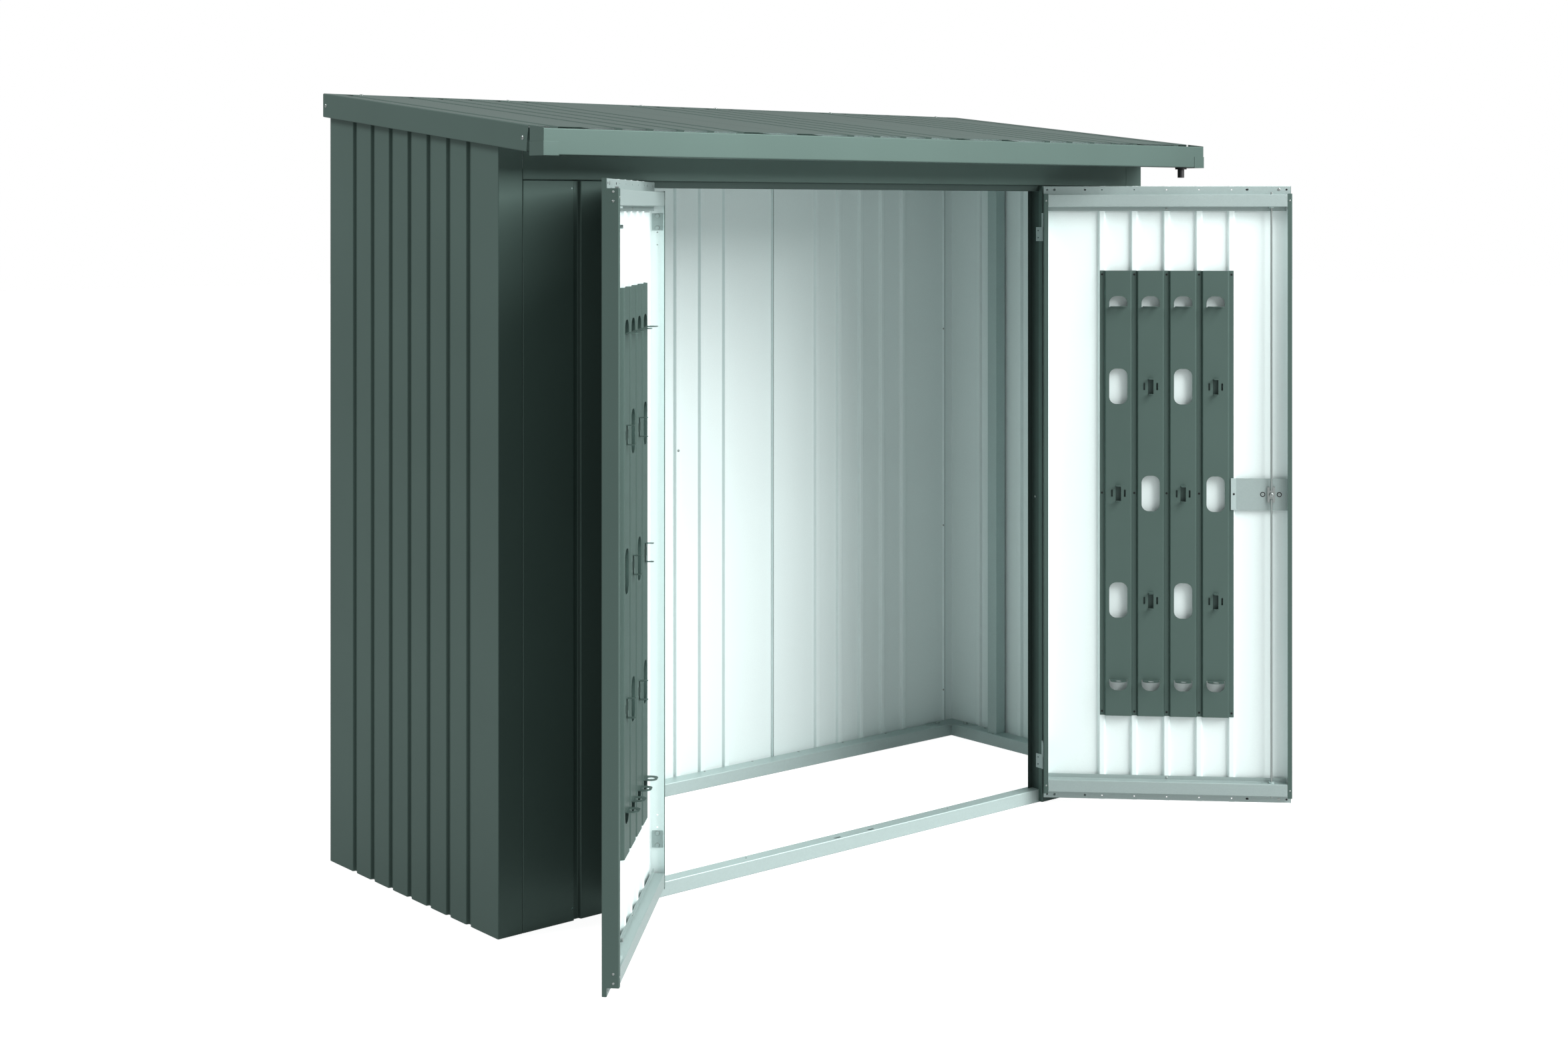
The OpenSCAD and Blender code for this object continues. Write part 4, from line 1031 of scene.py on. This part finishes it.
class LOGSTORE_OT_fasteners(LogStorePiece, bpy.types.Operator):
    """Sheet screws, rivets and base bolts"""
    bl_idname = "log_store.fasteners"
    bl_label = "Fasteners"

    def execute(self, context):
        (x, y, z), up = Matrix.Identity(3), axes(on_roof)[1]
        small, trims, tops, rails, posts, bolts = [], [], [], [], [], []
        for s in (1, -1):
            small += [(in_plan(s * u, -RIB_IN / 2, f * BACK_TRIM_Z), s * way * x)
                      for f in WALL_SCREWS for u, way in ((PANEL_W / 2 + SHEET_T, 1),
                                                          (BACK_SEAM - SHEET_T, -1))]
            small.append((in_plan(s * (OPEN_HALF + SHEET_T), STOP_Y - STOP_SCREW[0],
                                  DOOR_MID - STOP_SCREW[1]), -s * x))
            trims += [(in_plan(s * ROOF_HALF, -d, roof_z(-d, TRIM_H / 2)), s * x)
                      for d in TRIM_SCREWS]
            tops += [(on_roof(s * f * ROOF_HALF, TRIM_T + 0.02, RIDGE_ROW), up)
                     for f in RIDGE_SCREWS]
            rails += [(in_plan(s * (i + 0.5) * 2 * PITCH, -RIB_IN - SCREW_IN, RAIL_H), z)
                      for i in range(5)]
            rails += [(in_plan(s * (FRAME_X - SCREW_IN), d, RAIL_H), z) for d in SIDE_SCREWS]
            posts += [(in_plan(s * POST[0], POST[1] + d, RAIL_H), z)
                      for d in (-SCREW_IN, SCREW_IN)]
            for corner, way in ((-RIB_IN - GUSSET_T, -1), (FRAME_FRONT + GUSSET_T, 1)):
                bolts += [(in_plan(s * (FRAME_X - GUSSET_T - a), corner + way * b,
                                   RAIL_H + GUSSET_T), z)
                          for a, b in (GUSSET_BOLTS, GUSSET_BOLTS[::-1])]
        screws = heads("sheet_screw_heads", [
            ("pan", 3, small), ("pan", 5, trims + tops), ("pan", 3.5, rails),
            ("pan", 4, [(in_plan(0, -RIB_IN, MID_SCREW * BACK_TRIM_Z), -y)])])
        settle(screws, "shell", "steel", "sheet_screws")
        settle(heads("base_bolt_heads", [("bolt", 7.5, bolts), ("pan", 3.5, posts)]), "shell",
               "steel", "base_bolts")
        for side, body in SIDES:
            place = on_door(side)
            outward, inward, _ = axes(place)

            def at(s, t, *heights, out=inward):
                """Spots at these heights, and as far from the door's other end."""
                return [(place(s, t, z), out) for h in heights for z in (h, 2 * DOOR_MID - h)]

            pans = at(DOOR_W, EDGE_SCREWS[0], *EDGE_SCREWS[1], out=outward)
            for s in (LIP_SCREW[0], DOOR_W - LIP_SCREW[0]):
                pans += at(s, DOOR_T, LIP_SCREW[1])
            nuts = [(place(SHEET_T + 2, DOOR_T / 2, z + h), outward)
                    for z in HINGE_PLATES for h in HINGE_NUTS]
            dark = [(place(c, RIB_IN + BOARD_T, DOOR_MID + row * (BOARD_H / 2 - BOARD_RIVET)),
                     inward) for c in centres(5, DOOR_W / 2) for row in (-1, 0, 1)
                    if side < 0 or row or c < PLATE_LIP[0][0]]
            locks = []
            if side > 0:
                dark.append((place(PLATE_RIVET, PLATE_LIP[1][1], DOOR_MID), inward))
                locks = [(place(LOCK_S + d, LOCK_SCREW_T, DOOR_MID), inward)
                         for d in (-LOCK_SCREW_S, LOCK_SCREW_S)]
            settle(heads(f"{body}_door_heads", [
                ("pan", 2.6, pans), ("rivet", 3, at(DOOR_W / 2, HEM_T, STRIP_RIVET)),
                ("boss", 4.5, at(DOOR_W - BOSS_IN, HEM_T, HEM_Z)), ("pan", 5.6, nuts),
                ("pan", 3.6, locks), ("rivet", 3, dark, "black"),
                # Black discs on the hems: painted shade in place of dark holes
                ("boss", 2.8, [spot for s in SHADE_DOTS_S for spot in at(s, HEM_T, HEM_Z)], "black")]),
                   f"{body}_door", "steel", f"{body}_door_screws")
        return {"FINISHED"}


class LOGSTORE_OT_studio(LogStorePiece, bpy.types.Operator):
    """Pale floor, soft light and the camera"""
    bl_idname = "log_store.studio"
    bl_label = "Studio"

    def execute(self, context):
        scene, studio = context.scene, context.scene.log_store_studio
        material = bpy.data.materials.new("studio_floor")
        material.use_nodes = True
        lit_and_seen(material.node_tree, "ShaderNodeOutputMaterial",
                     *(glowing(scaled(studio.floor, share), glow) for share, glow in FLOOR_TONES))
        mesh = bpy.data.meshes.new("floor")
        mesh.from_pydata([(x * FLOOR_HALF, y * FLOOR_HALF, 0)
                          for x, y in ((-1, -1), (1, -1), (1, 1), (-1, 1))], [], [(0, 1, 2, 3)])
        mesh.materials.append(material)
        floor = new_object("floor", mesh)
        floor.location.z = FLOOR_Z
        world = scene.world = scene.world or bpy.data.worlds.new("white studio")
        world.use_nodes = True
        lit_and_seen(world.node_tree, "ShaderNodeOutputWorld",
                     *(bright(strength) for strength in (studio.daylight, 1.0)))
        scene.view_settings.view_transform = "Standard"
        for name, place, aim, size, share in LIGHTS:
            lamp = bpy.data.lights.new(name, "AREA")
            lamp.shape, lamp.size, lamp.energy = "SQUARE", size, studio.key * share
            obj = new_object(name, lamp)
            obj.location = place
            obj.rotation_euler = (Vector(aim) - Vector(place)).to_track_quat("-Z", "Y").to_euler()
        camera = bpy.data.cameras.new("photograph")
        camera.lens, camera.sensor_width, camera.shift_y = LENS
        eye = new_object("photograph", camera)
        eye.location, eye.rotation_euler = EYE, [radians(a) for a in EYE_TURN]
        scene.camera = eye
        return {"FINISHED"}


class LOGSTORE_PT_panel(bpy.types.Panel):
    """Sizes, finishes and the pieces in the order they are made"""
    bl_idname = "LOGSTORE_PT_panel"
    bl_label = "Log Store"
    bl_space_type = "VIEW_3D"
    bl_region_type = "UI"
    bl_category = "Log Store"

    def draw(self, context):
        scene, layout = context.scene, self.layout
        for group in (scene.log_store_sizes, scene.log_store_finish, scene.log_store_studio):
            box = layout.box()
            for name in group.__annotations__:
                box.prop(group, name)
        for piece in PIECES:
            layout.operator(piece.bl_idname)


PIECES = (LOGSTORE_OT_walls, LOGSTORE_OT_front_frame, LOGSTORE_OT_base, LOGSTORE_OT_roof,
          LOGSTORE_OT_gutter, LOGSTORE_OT_doors, LOGSTORE_OT_tool_boards, LOGSTORE_OT_lock,
          LOGSTORE_OT_hinges, LOGSTORE_OT_fasteners, LOGSTORE_OT_studio)
GROUPS = {"log_store_sizes": LogStoreSizes, "log_store_finish": LogStoreFinish,
          "log_store_studio": LogStoreStudio}


def register():
    for name, group in GROUPS.items():
        bpy.utils.register_class(group)
        setattr(bpy.types.Scene, name, PointerProperty(type=group))
    for piece in (*PIECES, LOGSTORE_PT_panel):
        bpy.utils.register_class(piece)


def unregister():
    for piece in reversed((*PIECES, LOGSTORE_PT_panel)):
        bpy.utils.unregister_class(piece)
    for name, group in GROUPS.items():
        delattr(bpy.types.Scene, name)
        bpy.utils.unregister_class(group)


def main():
    register()
    for piece in PIECES:
        group, name = piece.bl_idname.split(".")
        getattr(getattr(bpy.ops, group), name)()


if __name__ == "__main__":
    main()
